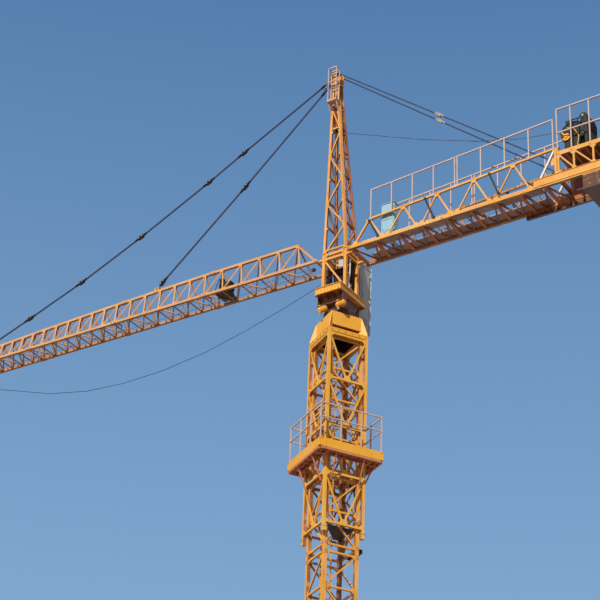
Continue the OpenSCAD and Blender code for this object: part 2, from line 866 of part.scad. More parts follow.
module counterjib_side(y) {
    z0 = jib_z + 65 + seat;
    z1 = jib_z + counter_h - 110;
    n = len(truss_nodes) - 1;
    top = [for (x = truss_nodes) [x, y, z1 + (truss_start - x) * truss_slope]];
    in = sign(y) * (counter_w / 2 - 57);
    color("#e79a35")
        union() {
            intersection() {
                union() {
                    bar(top[0], top[n], 80);
                    bar([-1050, y, z0], top[0], 70);
                    for (i = [0 : n - 1]) {
                        panel = truss_nodes[i] - truss_nodes[i + 1];
                        bar(top[i], [top[i][0] - 0.38 * panel, y, z0], 60);
                        bar([top[i][0] - 0.55 * panel, y, z0], top[i + 1], 52);
                    }
                    bar([truss_end, y, z0], top[n], 90);
                }
                union() {
                    block([truss_end + 900 + seat, y - 200, z0], [-500, y + 200, z1 + 1200]);
                    block([truss_end - 50, y - 200, jib_z + 330 + seat], [truss_end + 901, y + 200, z1 + 1200]);
                }
            }
            block([truss_end - 45, in - 17, jib_z + 800], [tie_x + 100, in + 17, tie_z + 130]);
        }
}

module counterjib_deck() {
    w = counter_w / 2 - 80;
    color("#6f6a66")
        union() {
            block([truss_end + 700, -w, jib_z + 45 + seat], [-1300, -w + 420, jib_z + 75]);
            block([truss_end + 700, w - 420, jib_z + 45 + seat], [-1300, w, jib_z + 75]);
            for (x = [truss_end + 700 : 640 : -1400])
                block([x, -w, jib_z + 45 + seat], [x + 60, w, jib_z + 75]);
        }
}

// the raised floor behind the truss, on braced posts over the lower chords
module winch_platform() {
    w = counter_w / 2;
    z = jib_z + 330 + seat;
    x0 = 1200 - counter_l;
    x1 = truss_end - 60 - seat;
    color("#9a4a24")
        union() {
            for (y = [-w, w]) {
                block([x0, y - 30, deck_z - 60], [x1, y + 30, deck_z]);
                for (x = [x0 + 800, x0 + 1570])
                    bar([x, y, z], [x, y, deck_z - 10], 66);
                bar([x1 - 50, y, z], [x1 - 50, y, deck_z - 10], 80);
                bar([x1 - 70, y, deck_z - 40], [x0 + 1540, y, z + 20], 52);
                bar([x0 + 830, y, z + 20], [x0 + 1540, y, deck_z - 40], 52);
            }
            // a plate closes the far side
            block([x0 + 560, 14 - w, z + 60], [x1 - 60, 26 - w, deck_z - 30]);
            block([x0, -w, deck_z - 50], [x1, w, deck_z - 10]);
        }
}

module counterjib_railing() {
    z1 = jib_z + counter_h - 110;
    mid = truss_start + (truss_end - truss_start) * 0.4785;
    color("#c9b2a8")
        for (y = [-counter_w / 2, counter_w / 2]) {
            difference() {
                union() {
                    for (p = [[truss_start - 50, mid + 55], [mid - 55, truss_end + 80]]) {
                        z = [for (x = p) z1 + 40 + (truss_start - x) * truss_slope];
                        for (i = [0 : 4]) {
                            t = i / 4;
                            bar([p[0] + (p[1] - p[0]) * t, y, z[0] + (z[1] - z[0]) * t - 60],
                                [p[0] + (p[1] - p[0]) * t, y, z[0] + (z[1] - z[0]) * t + 1290], 44);
                        }
                        bar([p[0] + 22, y, z[0] + 1290], [p[1] - 22, y, z[1] + 1290], 50);
                    }
                }
                bar([truss_start + 200, y, z1 - 200 * truss_slope],
                    [truss_end - 200, y, z1 + (truss_start - truss_end + 200) * truss_slope], 80.6);
                block([truss_end - 300, y - 60, z1 - 400], [truss_start + 300, y + 60, z1 + 10]);
            }
            rear_railing(y);
        }
}

// the railing of the winch platform, over one of its sides
module rear_railing(y) {
    z = deck_z + seat;
    for (x = [truss_end - 90, 2840 - counter_l, 2100 - counter_l, 1360 - counter_l])
        bar([x, y, z], [x, y, z + 2010], 44);
    for (h = [960, 2010])
        bar([truss_end - 68, y, z + h], [1338 - counter_l, y, z + h], 50);
}

module hoist_winch() {
    z = deck_z - 10 + seat;
    x = drum_x - 60;
    color("#2c3a34")
        union() {
            block([x - 560, -480, z], [x + 540, 480, z + 140]);
            translate([drum_x, 330, drum_z])
                rotate([90, 0, 0])
                    cylinder(h = 660, r = 380, $fn = 48);
            for (y = [-330, 270])
                translate([drum_x, y + 60, drum_z])
                    rotate([90, 0, 0])
                        cylinder(h = 60, r = 470, $fn = 48);
            translate([drum_x, 400, drum_z])
                rotate([90, 0, 0])
                    cylinder(h = 770, r = 60, $fn = 32);
            for (y = [-400, 370])
                block([x - 240, y, z + 100], [x + 360, y + 60, drum_z + 260]);
            block([x - 560, -420, z + 100], [x - 450, 420, z + 1500]);
            translate([x - 400, 380, z + 1600])
                rotate([90, 0, 0])
                    cylinder(h = 760, r = 150, $fn = 32);
        }
}

module electric_cabinet() {
    color("#a9cdd6")
        block([-2710, 230, jib_z + 75 + seat], [-2160, 560, jib_z + 1580]);
}

// each slab hangs between the chords on its two ears
module counterweights() {
    w = counter_w / 2;
    z = jib_z + 330 + seat;
    color("#4a4a4c")
        for (i = [0 : 3])
            translate([140 - counter_l + i * 400, 0, 0])
                rotate([90, 0, 90])
                    linear_extrude(390)
                        polygon([[-w + 80, 19340], [w - 80, 19340], [w - 80, z], [w + 40, z],
                            [w + 40, z + 160], [-w - 40, z + 160], [-w - 40, z], [-w + 80, z]]);
}

module counterjib_ties() {
    color("#3a4a63")
        for (y = [-1, 1])
            difference() {
                union() {
                    bar([back_pin_x, y * 210, pin_z], [tie_x, y * tie_y, tie_z], 55, 6);
                    eye([back_pin_x, y * 210, pin_z], 75, 30, 50);
                    block([tie_x - 90, y * (tie_y + 6) - 26, tie_z - 60], [tie_x + 90, y * (tie_y + 6) + 26, tie_z + 60]);
                }
                translate([back_pin_x, y * 210 + 100, pin_z])
                    rotate([90, 0, 0])
                        cylinder(h = 200, r = 30.3, $fn = 32);
            }
}

// Work platform

module platform_frame() {
    w = platform_w / 2;
    in = frame_w / 2 + frame_post / 2 + 6;
    z = platform_z - toe_h;
    color("#8a3f1e")
        fixed()
            at_corners()
                union() {
                    bar([-in - 40, -w + 40, z - 50], [-in - 40, w - 40, z - 50], 80);
                    bar([-w + 40, -w + 80, z - 50], [-w + 40, w - 80, z - 50], 80);
                    for (y = [-560, 560])
                        bar([-in - seat, y, z - 1000], [-w + 60, y, z - 60], 44);
                }
}

module platform_deck() {
    w = platform_w / 2 - 32;
    in = frame_w / 2 + frame_post / 2 + 6;
    color("#7a5138")
        fixed()
            translate([0, 0, platform_z - toe_h])
                linear_extrude(40)
                    difference() {
                        square(2 * w, center = true);
                        square(2 * in, center = true);
                    }
}

module toe_boards() {
    color("#eda437")
        fixed()
            translate([0, 0, platform_z - toe_h])
                linear_extrude(toe_h)
                    difference() {
                        square(platform_w, center = true);
                        square(platform_w - 60, center = true);
                    }
}

module platform_railing() {
    w = platform_w / 2 - 55;
    color("#cdb4ae")
        fixed()
            at_corners()
                union() {
                    for (y = [-w, -w / 3, w / 3])
                        bar([-w, y, platform_z - toe_h + 40 + seat], [-w, y, platform_z + rail_h], 44);
                    for (z = [platform_z + 0.6 * rail_h, platform_z + rail_h - 22])
                        bar([-w, -w, z], [-w, w, z], 44);
                }
}

module jacking_gear() {
    out = frame_w / 2 + 40 + seat;
    bar_z = frame_foot + 400 + panel_h;
    // the top of the mast's lacing bar over the joint under the frame
    foot_z = base_h + 3 * section_h + 140 + 35 + seat - 10;
    color("#33302f")
        fixed() {
            // the cylinder hangs from a bar of the frame and pushes a crosshead off the mast's legs
            block([-110, -out - 200, bar_z - 100], [110, -out, bar_z + 100]);
            translate([0, -out - 110, bar_z - 1400])
                cylinder(h = 1350, r = 80, $fn = 32);
            translate([0, -out - 110, foot_z + 100])
                cylinder(h = bar_z - 1350 - foot_z - 100, r = 45, $fn = 32);
            block([-400, -out - 180, foot_z], [400, -out - 40, foot_z + 150]);
            for (x = [-340, 340])
                block([x - 30, -out - 100, foot_z + 10], [x + 30, 20 - mast_w / 2, foot_z + 70]);
            // the pump under the work platform
            block([80, -1200, platform_z - toe_h - 90 - 500], [480, -870, platform_z - toe_h - 90 - seat]);
        }
}

base_cross();
base_struts();
mast_side(0);  // mast_side_1
mast_side(1);  // mast_side_2
mast_side(2);  // mast_side_3
mast_side(3);  // mast_side_4
mast_ladder();
rest_platforms();
climbing_side(0);  // climbing_side_1
climbing_side(1);  // climbing_side_2
climbing_side(2);  // climbing_side_3
climbing_side(3);  // climbing_side_4
jacking_gear();
platform_frame();
platform_deck();
toe_boards();
platform_railing();
mast_support();
slewing_ring_lower();
slewing_ring_upper();
turntable();
slewing_motors();
slewing_tower();
head_side(1);  // head_side_near
head_side(-1);  // head_side_far
head_end(1);  // head_side_front
head_end(-1);  // head_side_back
head_cap();
head_sheave();
head_platform();
cab_body();
cab_glass();
cab_bracket();
jib_section_n(1);  // jib_section_1
jib_section_n(2);  // jib_section_2
jib_section_n(3);  // jib_section_3
jib_section_n(4);  // jib_section_4
jib_section_n(5);  // jib_section_5
jib_stay_outer();
jib_stay_inner();
trolley_winch();
trolley();
hook_block();
hoist_rope();
counterjib_frame();
counterjib_side(counter_w / 2);  // counterjib_side_near
counterjib_side(-counter_w / 2);  // counterjib_side_far
counterjib_deck();
counterjib_railing();
winch_platform();
hoist_winch();
electric_cabinet();
counterweights();
counterjib_ties();
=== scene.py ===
"""Finish and small parts of the tower crane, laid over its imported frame, in metres."""

import json
import math

import bmesh
import bpy
from mathutils import Matrix, Vector

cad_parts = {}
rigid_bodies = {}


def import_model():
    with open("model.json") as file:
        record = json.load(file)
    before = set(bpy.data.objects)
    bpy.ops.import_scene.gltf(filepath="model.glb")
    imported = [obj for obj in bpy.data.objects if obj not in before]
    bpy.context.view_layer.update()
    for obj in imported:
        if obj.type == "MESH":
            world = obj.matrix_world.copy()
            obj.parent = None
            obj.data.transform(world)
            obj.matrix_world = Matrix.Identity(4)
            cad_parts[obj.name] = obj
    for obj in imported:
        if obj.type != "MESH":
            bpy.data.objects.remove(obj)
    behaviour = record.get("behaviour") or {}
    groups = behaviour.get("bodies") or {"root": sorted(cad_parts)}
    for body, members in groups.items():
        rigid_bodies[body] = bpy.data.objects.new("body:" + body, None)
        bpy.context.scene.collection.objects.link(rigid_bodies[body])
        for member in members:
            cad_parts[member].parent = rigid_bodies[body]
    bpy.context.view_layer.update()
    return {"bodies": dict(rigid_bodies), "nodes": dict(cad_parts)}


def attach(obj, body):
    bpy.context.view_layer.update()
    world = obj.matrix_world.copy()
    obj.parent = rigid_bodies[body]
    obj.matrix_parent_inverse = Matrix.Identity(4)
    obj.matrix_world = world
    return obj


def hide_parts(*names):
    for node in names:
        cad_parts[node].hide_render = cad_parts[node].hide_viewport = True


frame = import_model()
nodes = frame["nodes"]

# The crane's axes, both sides of a thing, and its four corners
X = Vector((1, 0, 0))
Y = Vector((0, 1, 0))
Z = Vector((0, 0, 1))
SIDES = (-1, 1)
CORNERS = [(x, y) for x in SIDES for y in SIDES]

# Main places on the crane, as its source gives them
MAST_TURN = math.radians(-30)
BASE_H = 0.8
MAST_HALF = 0.625
MAST_LEG = 0.14
SECTION_H = 2.87
SECTIONS = 6
MAST_TOP = BASE_H + SECTION_H * SECTIONS
FRAME_HALF = 0.77
FRAME_POST = 0.11
FRAME_FOOT = MAST_TOP - 8.1
FRAME_PANEL = (8.1 - 0.4) / 4
PLATFORM_HALF = 1.29
PLATFORM_Z = FRAME_FOOT + 3.35
TOE_H = 0.34
RAIL_H = 1.45
SUPPORT_TOP = MAST_TOP + 1.0
UPPER_Z = SUPPORT_TOP + 0.24
TURNTABLE_Z = UPPER_Z + 0.006
TOWER_FOOT = TURNTABLE_Z + 0.9
JIB_Z = UPPER_Z + 2.43
TOWER_X = 0.49
TOWER_Y = 0.41
TOWER_TOP = JIB_Z + 0.25
HEAD_X = 0.4
HEAD_Z = JIB_Z + 9.3
CAP_Z = HEAD_Z - 0.7
JIB_HALF = 0.5
JIB_PIN = (0.76, JIB_Z + 0.014)
JIB_RISE = math.radians(0.857)
JIB_START = 1.6
JIB_SECTION = 4.6
JIB_TIP = JIB_START + 4.6 * JIB_SECTION
JIB_APEX = JIB_START + JIB_SECTION / 10
JIB_DEPTH = 1.35
JIB_TAPER = 0.69
CHORD = 0.106
JIB_WINCH = JIB_START + 0.845 * JIB_SECTION
TROLLEY = JIB_START + 4.1 * JIB_SECTION
OUTER_STAY = 18.5625
INNER_STAY = 9.052
COUNTER_HALF = 0.67
COUNTER_L = 13.1
TRUSS_START = -1.7
TRUSS_END = 3.49 - COUNTER_L
TRUSS_NODES = [TRUSS_START + (TRUSS_END - TRUSS_START) * t for t in (0, 0.191, 0.3755, 0.575, 0.7825, 1)]
TRUSS_TOP = JIB_Z + 1.15 - 0.11
TRUSS_SLOPE = 0.055
DECK_Z = JIB_Z + 1.18
MAST = "mast"
TOP = "crane_top"
SMOOTH_ANGLE = 0.6


# Node trees

class Nodes:
    """A node tree, with short ways to add, join and mix its nodes."""

    def __init__(self, tree):
        self.tree = tree

    def put(self, value, socket):
        if isinstance(value, bpy.types.NodeSocket):
            self.tree.links.new(value, socket)
        else:
            socket.default_value = value

    def add(self, kind, inputs=(), **settings):
        node = self.tree.nodes.new("ShaderNode" + kind)
        for key, value in settings.items():
            setattr(node, key, value)
        for key, value in dict(inputs).items():
            self.put(value, node.inputs[key])
        return node

    def math(self, operation, a, b, clamp=False):
        return self.add("Math", {0: a, 1: b}, operation=operation, use_clamp=clamp).outputs[0]

    def times(self, a, b, clamp=False):
        return self.math("MULTIPLY", a, b, clamp)

    def plus(self, a, b, clamp=False):
        return self.math("ADD", a, b, clamp)

    def vector(self, operation, a, b=(0, 0, 0), output="Vector"):
        return self.add("VectorMath", {0: a, 1: b}, operation=operation).outputs[output]

    def step(self, value, low, high):
        return self.add("MapRange", {"Value": value, "From Min": low, "From Max": high}).outputs[0]

    def blend(self, share, a, b):
        return self.add("Mix", {0: share, 6: a, 7: b}, data_type="RGBA").outputs[2]

    def shade(self, share, a, b):
        return self.add("MixShader", {"Fac": share, 1: a.outputs[0], 2: b.outputs[0]}).outputs[0]

    def noise(self, place, scale, detail=4.0, rough=0.55):
        return self.add("TexNoise", {"Vector": place, "Scale": scale, "Detail": detail,
                                     "Roughness": rough}).outputs["Fac"]


# Camera, light and floor

def add_camera():
    lens = bpy.data.cameras.new("photo_lens")
    lens.sensor_width = 36
    lens.lens = 113.11
    lens.shift_x = 0.0021
    lens.shift_y = -0.0007
    lens.clip_end = 3000
    camera = bpy.data.objects.new("photo_camera", lens)
    right = Vector((-0.834288, -0.550124, 0.036432))
    up = Vector((-0.257925, 0.447850, 0.856099))
    ahead = Vector((0.487277, -0.704836, 0.515526))
    turn = Matrix((right, up, -ahead)).transposed().to_4x4()
    camera.matrix_world = Matrix.Translation((-33.806, 51.654, -17.207)) @ turn
    bpy.context.scene.collection.objects.link(camera)
    bpy.context.scene.camera = camera


def add_sun(name, toward, strength, colour, spread):
    lamp = bpy.data.lights.new(name, "SUN")
    lamp.energy = strength
    lamp.color = colour
    lamp.angle = math.radians(spread)
    sun = bpy.data.objects.new(name, lamp)
    sun.rotation_euler = Vector(toward).to_track_quat("Z", "Y").to_euler()
    bpy.context.scene.collection.objects.link(sun)


def add_world():
    """Even pale light, and a backdrop of clear sky that darkens upwards where it is seen."""
    world = bpy.data.worlds.new("pale_studio")
    bpy.context.scene.world = world
    world.use_nodes = True
    world.node_tree.nodes.clear()
    n = Nodes(world.node_tree)
    light = n.add("Background", {"Color": (0.84, 0.91, 1.0, 1), "Strength": 0.27})
    height = n.add("SeparateXYZ", {0: n.add("TexCoord").outputs["Generated"]}).outputs["Z"]
    sky = n.blend(n.step(height, 0.30, 0.66), (0.25, 0.43, 0.67, 1), (0.082, 0.198, 0.41, 1))
    backdrop = n.add("Background", {"Color": sky, "Strength": 1.0})
    path = n.add("LightPath").outputs
    seen = n.math("MAXIMUM", path["Is Camera Ray"], path["Is Glossy Ray"])
    seen = n.math("MAXIMUM", seen, path["Is Transmission Ray"])
    n.add("OutputWorld", {"Surface": n.shade(seen, light, backdrop)})


def add_floor():
    mesh = bpy.data.meshes.new("floor")
    work = bmesh.new()
    bmesh.ops.create_circle(work, cap_ends=True, radius=260, segments=96)
    for face in work.faces:
        if face.normal.z < 0:
            face.normal_flip()
    work.to_mesh(mesh)
    work.free()
    floor = bpy.data.objects.new("floor", mesh)
    bpy.context.scene.collection.objects.link(floor)
    look = bpy.data.materials.new("pale_floor")
    look.use_nodes = True
    n = Nodes(look.node_tree)
    paint = n.tree.nodes["Principled BSDF"]
    n.put(0.9, paint.inputs["Roughness"])
    # pale where it is seen, and dull in the light that it throws up under the crane
    thrown = n.add("LightPath").outputs["Is Diffuse Ray"]
    n.put(n.blend(thrown, (0.68, 0.68, 0.68, 1), (0.20, 0.14, 0.115, 1)), paint.inputs["Base Color"])
    # the photograph looks up from under the floor's level, so its back face is clear
    back = n.add("NewGeometry").outputs["Backfacing"]
    n.put(n.shade(back, paint, n.add("BsdfTransparent")), n.tree.nodes["Material Output"].inputs["Surface"])
    mesh.materials.append(look)


# Shader node groups

class Group(Nodes):
    """A shader node group. None makes a vector input, a number a value and three numbers a colour."""

    def __init__(self, name, inputs, outputs):
        super().__init__(bpy.data.node_groups.new(name, "ShaderNodeTree"))
        for label, value in inputs.items():
            kind = "Vector" if value is None else "Float" if isinstance(value, float) else "Color"
            socket = self.tree.interface.new_socket(label, in_out="INPUT", socket_type="NodeSocket" + kind)
            if value is not None:
                socket.default_value = value if kind == "Float" else (*value, 1)
        for label in outputs:
            kind = "NodeSocketColor" if label == "Color" else "NodeSocketFloat"
            self.tree.interface.new_socket(label, in_out="OUTPUT", socket_type=kind)
        self.start = self.tree.nodes.new("NodeGroupInput").outputs
        self.end = self.tree.nodes.new("NodeGroupOutput").inputs

    def give(self, **values):
        for label, value in values.items():
            self.put(value, self.end[label])
        return self.tree


def aged_paint_group():
    """Paint that has faded in patches, with grime, running streaks and rust specks."""
    g = Group("aged_paint",
              {"Place": None, "Paint": (0.8, 0.4, 0.1), "Faded": (0.85, 0.55, 0.3), "Grime": (0.1, 0.06, 0.04),
               "Rust": (0.18, 0.06, 0.025), "Fading": 0.5, "Soiling": 0.4, "Rusting": 0.3,
               "Gloss Roughness": 0.42},
              ("Color", "Roughness", "Height"))
    place = g.start["Place"]
    fade = g.times(g.step(g.noise(place, 0.9, 5.0, 0.6), 0.42, 0.68), g.start["Fading"])
    base = g.blend(fade, g.start["Paint"], g.start["Faded"])
    streaks = g.noise(g.vector("MULTIPLY", place, (7.0, 7.0, 0.55)), 2.2, 5.0, 0.6)
    blots = g.noise(place, 3.1, 6.0, 0.65)
    soil = g.times(g.step(streaks, 0.50, 0.74), g.step(blots, 0.36, 0.62))
    soil = g.times(soil, g.start["Soiling"], True)
    base = g.blend(soil, base, g.start["Grime"])
    specks = g.noise(place, 24.0, 6.0, 0.7)
    spread = g.noise(g.vector("MULTIPLY", place, (1.0, 1.0, 0.7)), 1.7, 3.0, 0.5)
    rust = g.times(g.step(specks, 0.56, 0.66), g.step(spread, 0.48, 0.66))
    rust = g.times(rust, g.start["Rusting"], True)
    base = g.blend(rust, base, g.start["Rust"])
    rough = g.plus(g.start["Gloss Roughness"], g.times(fade, 0.15))
    rough = g.plus(rough, g.times(soil, 0.25))
    rough = g.plus(rough, g.times(rust, 0.35), True)
    height = g.plus(g.times(g.noise(place, 160.0, 3.0, 0.5), 0.25), g.times(rust, -0.8))
    height = g.plus(height, g.times(soil, 0.2))
    return g.give(Color=base, Roughness=rough, Height=height)


def dust_and_under_shade_group():
    """Dust on faces that look up and dark painted shade on faces that look down, broken up by noise."""
    g = Group("dust_and_under_shade",
              {"Place": None, "Base": (0.5, 0.5, 0.5), "Dust": (0.42, 0.33, 0.25), "Amount": 0.5,
               "Undershade": (0.09, 0.03, 0.02), "Damp Amount": 0.0},
              ("Color",))
    facing = g.add("SeparateXYZ", {0: g.add("NewGeometry").outputs["Normal"]}).outputs["Z"]
    cover = g.step(g.noise(g.start["Place"], 5.0, 5.0, 0.6), 0.35, 0.65)
    dust = g.times(g.times(g.step(facing, 0.45, 0.95), cover), g.start["Amount"], True)
    overlaid = g.blend(dust, g.start["Base"], g.start["Dust"])
    shade_patches = g.step(g.noise(g.start["Place"], 1.3, 5.0, 0.6), 0.25, 0.55)
    under = g.times(g.step(g.times(facing, -1.0), 0.25, 0.8), shade_patches)
    under_shade = g.times(under, g.start["Damp Amount"], True)
    return g.give(Color=g.blend(under_shade, overlaid, g.start["Undershade"]))


def shade_zone_group():
    """Painted shade between two limits along an axis, with a ragged edge."""
    g = Group("shade_zone",
              {"Place": None, "Base": (0.5, 0.5, 0.5), "Coat": (0.1, 0.05, 0.03), "Along": None, "Low": -1.0,
               "High": 1.0},
              ("Color",))
    place = g.start["Place"]
    along = g.vector("DOT_PRODUCT", place, g.start["Along"], "Value")
    along = g.plus(along, g.times(g.noise(place, 6.0), 0.04))
    between = g.times(g.math("GREATER_THAN", along, g.start["Low"]), g.math("LESS_THAN", along, g.start["High"]))
    ragged_edge = g.step(g.noise(place, 9.0, 6.0, 0.7), 0.74, 0.56)
    return g.give(Color=g.blend(g.times(between, ragged_edge, True), g.start["Base"], g.start["Coat"]))


def inside_shade_group():
    """Painted shade in dull red on the faces of a lattice that look in towards its axis."""
    g = Group("inside_shade",
              {"Place": None, "Facing": None, "Base": (0.5, 0.5, 0.5), "Coat": (0.22, 0.065, 0.035),
               "Amount": 0.5, "Across": None},
              ("Color",))
    outward = g.vector("NORMALIZE", g.vector("MULTIPLY", g.start["Place"], g.start["Across"]))
    inward = g.times(g.vector("DOT_PRODUCT", outward, g.start["Facing"], "Value"), -1.0)
    patches = g.step(g.noise(g.start["Place"], 2.3, 5.0, 0.6), 0.28, 0.5)
    share = g.times(g.times(g.step(inward, 0.15, 0.65), patches), g.start["Amount"], True)
    return g.give(Color=g.blend(share, g.start["Base"], g.start["Coat"]))


def grain_group():
    """Fine mottled grain for cast, rolled and moulded surfaces."""
    g = Group("grain", {"Place": None, "Dark": (0.1, 0.1, 0.1), "Light": (0.2, 0.2, 0.2), "Scale": 30.0},
              ("Color", "Roughness", "Height"))
    coarse = g.noise(g.start["Place"], g.times(g.start["Scale"], 0.08))
    fine = g.noise(g.start["Place"], g.start["Scale"], 8.0, 0.7)
    share = g.step(g.plus(g.times(coarse, 0.65), g.times(fine, 0.35)), 0.36, 0.64)
    return g.give(Color=g.blend(share, g.start["Dark"], g.start["Light"]),
                  Roughness=g.plus(0.38, g.times(fine, 0.4)), Height=fine)


def rope_lay_group():
    """The twisted strands of a steel rope, wound along the rope's length."""
    g = Group("rope_lay", {"Place": None, "Pitch": 30.0}, ("Height",))
    wave = g.add("TexWave", {"Vector": g.start["Place"], "Scale": g.start["Pitch"],
                             "Distortion": 0.6, "Detail": 2.0},
                 wave_type="BANDS", bands_direction="DIAGONAL")
    return g.give(Height=wave.outputs["Fac"])


PAINT = aged_paint_group()
DUST_AND_SHADE = dust_and_under_shade_group()
SHADE_ZONE = shade_zone_group()
INSIDE_SHADE = inside_shade_group()
GRAIN = grain_group()
LAY = rope_lay_group()


# Materials

class Finish(Nodes):
    """A material with its own Principled shader, and the groups that feed it."""

    def __init__(self, name, **constants):
        self.material = bpy.data.materials.new(name)
        self.material.use_nodes = True
        super().__init__(self.material.node_tree)
        self.shader = self.tree.nodes["Principled BSDF"].inputs
        for key, value in constants.items():
            self.shader[key.replace("_", " ")].default_value = value
        self.place = self.add("TexCoord").outputs["Object"]

    def group(self, tree, **values):
        node = self.add("Group", node_tree=tree)
        self.put(self.place, node.inputs["Place"])
        for key, value in values.items():
            socket = node.inputs[key.replace("_", " ")]
            plain_colour = socket.type == "RGBA" and isinstance(value, tuple)
            self.put((*value, 1) if plain_colour else value, socket)
        return node.outputs

    def done(self, colour, roughness, height, depth, strength=0.5):
        bump = self.add("Bump", {"Distance": depth, "Strength": strength, "Height": height})
        self.put(colour, self.shader["Base Color"])
        self.put(roughness, self.shader["Roughness"])
        self.put(bump.outputs["Normal"], self.shader["Normal"])
        return self.material


def painted(name, paint, faded, grime=(0.10, 0.05, 0.03), fading=0.5, soiling=0.45, rusting=0.4, gloss=0.42,
            dust=0.35, under_shade=0.5, shade_zones=(), inside=0.0, across=(1, 1, 0)):
    """Weathered paint. Each zone is a darker colour of painted shade, its axis and its two limits along that axis.
    """
    finish = Finish(name)
    look = finish.group(PAINT, Paint=paint, Faded=faded, Grime=grime, Rust=(0.16, 0.05, 0.02), Fading=fading,
                        Soiling=soiling, Rusting=rusting, Gloss_Roughness=gloss)
    colour = look["Color"]
    # each zone paints shade in its colour between its two limits
    for shade_colour, along, low, high in shade_zones:
        colour = finish.group(SHADE_ZONE, Base=colour, Coat=shade_colour, Along=along, Low=low, High=high)["Color"]
    # painted shade on the faces that look in towards the lattice's axis
    if inside:
        facing = finish.add("TexCoord").outputs["Normal"]
        colour = finish.group(INSIDE_SHADE, Base=colour, Facing=facing, Amount=inside, Across=across)["Color"]
    # dust on faces that look up, and painted shade on faces that look down
    overlaid = finish.group(DUST_AND_SHADE, Base=colour, Dust=(0.45, 0.33, 0.22), Amount=dust, Damp_Amount=under_shade)
    return finish.done(overlaid["Color"], look["Roughness"], look["Height"], 0.002)


def mottled(name, dark, light, scale=30.0, metallic=0.0, depth=0.001, shine=0.5):
    finish = Finish(name, Metallic=metallic, Specular_IOR_Level=shine)
    look = finish.group(GRAIN, Dark=dark, Light=light, Scale=scale)
    overlaid = finish.group(DUST_AND_SHADE, Base=look["Color"], Amount=0.3)
    return finish.done(overlaid["Color"], look["Roughness"], look["Height"], depth)


def rope_steel():
    finish = Finish("rope_steel", Metallic=0.6)
    lay = finish.group(LAY, Pitch=14.0)
    look = finish.group(GRAIN, Dark=(0.05, 0.07, 0.10), Light=(0.17, 0.22, 0.29), Scale=60.0)
    return finish.done(look["Color"], look["Roughness"], lay["Height"], 0.004, 0.8)


def tinted_glass():
    finish = Finish("cab_pane", Metallic=0.0, Transmission_Weight=0.72, IOR=1.5,
                    Base_Color=(0.10, 0.16, 0.18, 1))
    smears = finish.group(GRAIN, Scale=3.0)["Height"]
    finish.put(finish.add("MapRange", {"Value": smears, "To Min": 0.02, "To Max": 0.10}).outputs[0],
               finish.shader["Roughness"])
    return finish.material


# these finishes paint shade on faces that look down, and some on lattice faces that look in towards an axis
YELLOW = painted("crane_yellow", (0.84, 0.38, 0.055), (0.90, 0.56, 0.22), dust=0.2, under_shade=0.45)
LATTICE = painted("lattice_yellow", (0.86, 0.40, 0.055), (0.92, 0.58, 0.24), gloss=0.6, dust=0.2,
                  inside=0.85)
# painted shade: dark red-brown on the head where x + y is below -0.12, the (-x, -y) leg
HEAD = painted("head_yellow", (0.79, 0.345, 0.065), (0.84, 0.50, 0.24), soiling=0.5, gloss=0.8, dust=0.1,
               under_shade=0.6, inside=0.95, shade_zones=[((0.46, 0.16, 0.06), (1, 1, 0), -10.0, -0.12)])
ORANGE = painted("frame_orange", (0.93, 0.44, 0.035), (0.95, 0.55, 0.12), soiling=0.3, rusting=0.25, dust=0.2,
                 under_shade=0.3)
FRAME = painted("climbing_orange", (0.93, 0.46, 0.045), (0.95, 0.60, 0.18), soiling=0.3, rusting=0.3, dust=0.2,
                under_shade=0.45, inside=0.8)
JIB = painted("jib_orange", (0.70, 0.345, 0.12), (0.82, 0.52, 0.29), soiling=0.5, rusting=0.45, gloss=0.75,
              inside=0.5, across=(0, 1, 0))
TRUSS = painted("truss_yellow", (0.84, 0.39, 0.06), (0.92, 0.60, 0.26), soiling=0.5, gloss=0.6, inside=0.6,
                across=(0, 1, 0))
# painted shade: red-brown for undersides and parts that sit under the decks
BROWN = painted("underside_shade_brown", (0.64, 0.21, 0.085), (0.74, 0.34, 0.19), soiling=0.6, rusting=0.6,
                gloss=0.6, under_shade=0.1)
RAIL = painted("rail_paint", (0.64, 0.46, 0.40), (0.70, 0.57, 0.53), soiling=0.35, rusting=0.5, under_shade=0.4)
TOE = painted("toe_board_yellow", (0.93, 0.43, 0.02), (0.95, 0.54, 0.10), soiling=0.25, rusting=0.2, under_shade=0.4)
DECK = painted("worn_deck", (0.40, 0.31, 0.30), (0.62, 0.53, 0.55), fading=0.9, soiling=0.8, rusting=0.6,
               gloss=0.75, under_shade=0.0)
CAB = painted("cab_white", (0.56, 0.58, 0.60), (0.64, 0.63, 0.62), grime=(0.24, 0.13, 0.12), soiling=0.6,
              rusting=0.25, gloss=0.3, dust=0.2, under_shade=0.3)
PALE = painted("pale_cream", (0.88, 0.86, 0.80), (0.92, 0.90, 0.86), grime=(0.3, 0.2, 0.15), soiling=0.3,
               rusting=0.2, under_shade=0.2)
BLUE = painted("cabinet_blue", (0.30, 0.55, 0.68), (0.45, 0.67, 0.76), grime=(0.12, 0.2, 0.24), soiling=0.4,
               rusting=0.15, gloss=0.35, under_shade=0.3)
GREEN = painted("winch_green", (0.018, 0.022, 0.012), (0.070, 0.060, 0.030), grime=(0.02, 0.012, 0.008),
                soiling=0.7, rusting=0.8, gloss=0.72)
STAY = painted("stay_blue", (0.035, 0.060, 0.14), (0.055, 0.085, 0.17), grime=(0.03, 0.035, 0.06), soiling=0.3,
               rusting=0.1, gloss=0.6)
# painted shade: dark red-brown on the turntable below TURNTABLE_Z + 0.61
TURNTABLE = painted("turntable_orange", (0.92, 0.43, 0.04), (0.95, 0.55, 0.13), soiling=0.3, rusting=0.25,
                    dust=0.2, shade_zones=[((0.20, 0.07, 0.035), (0, 0, 1), 10.0, TURNTABLE_Z + 0.61)])
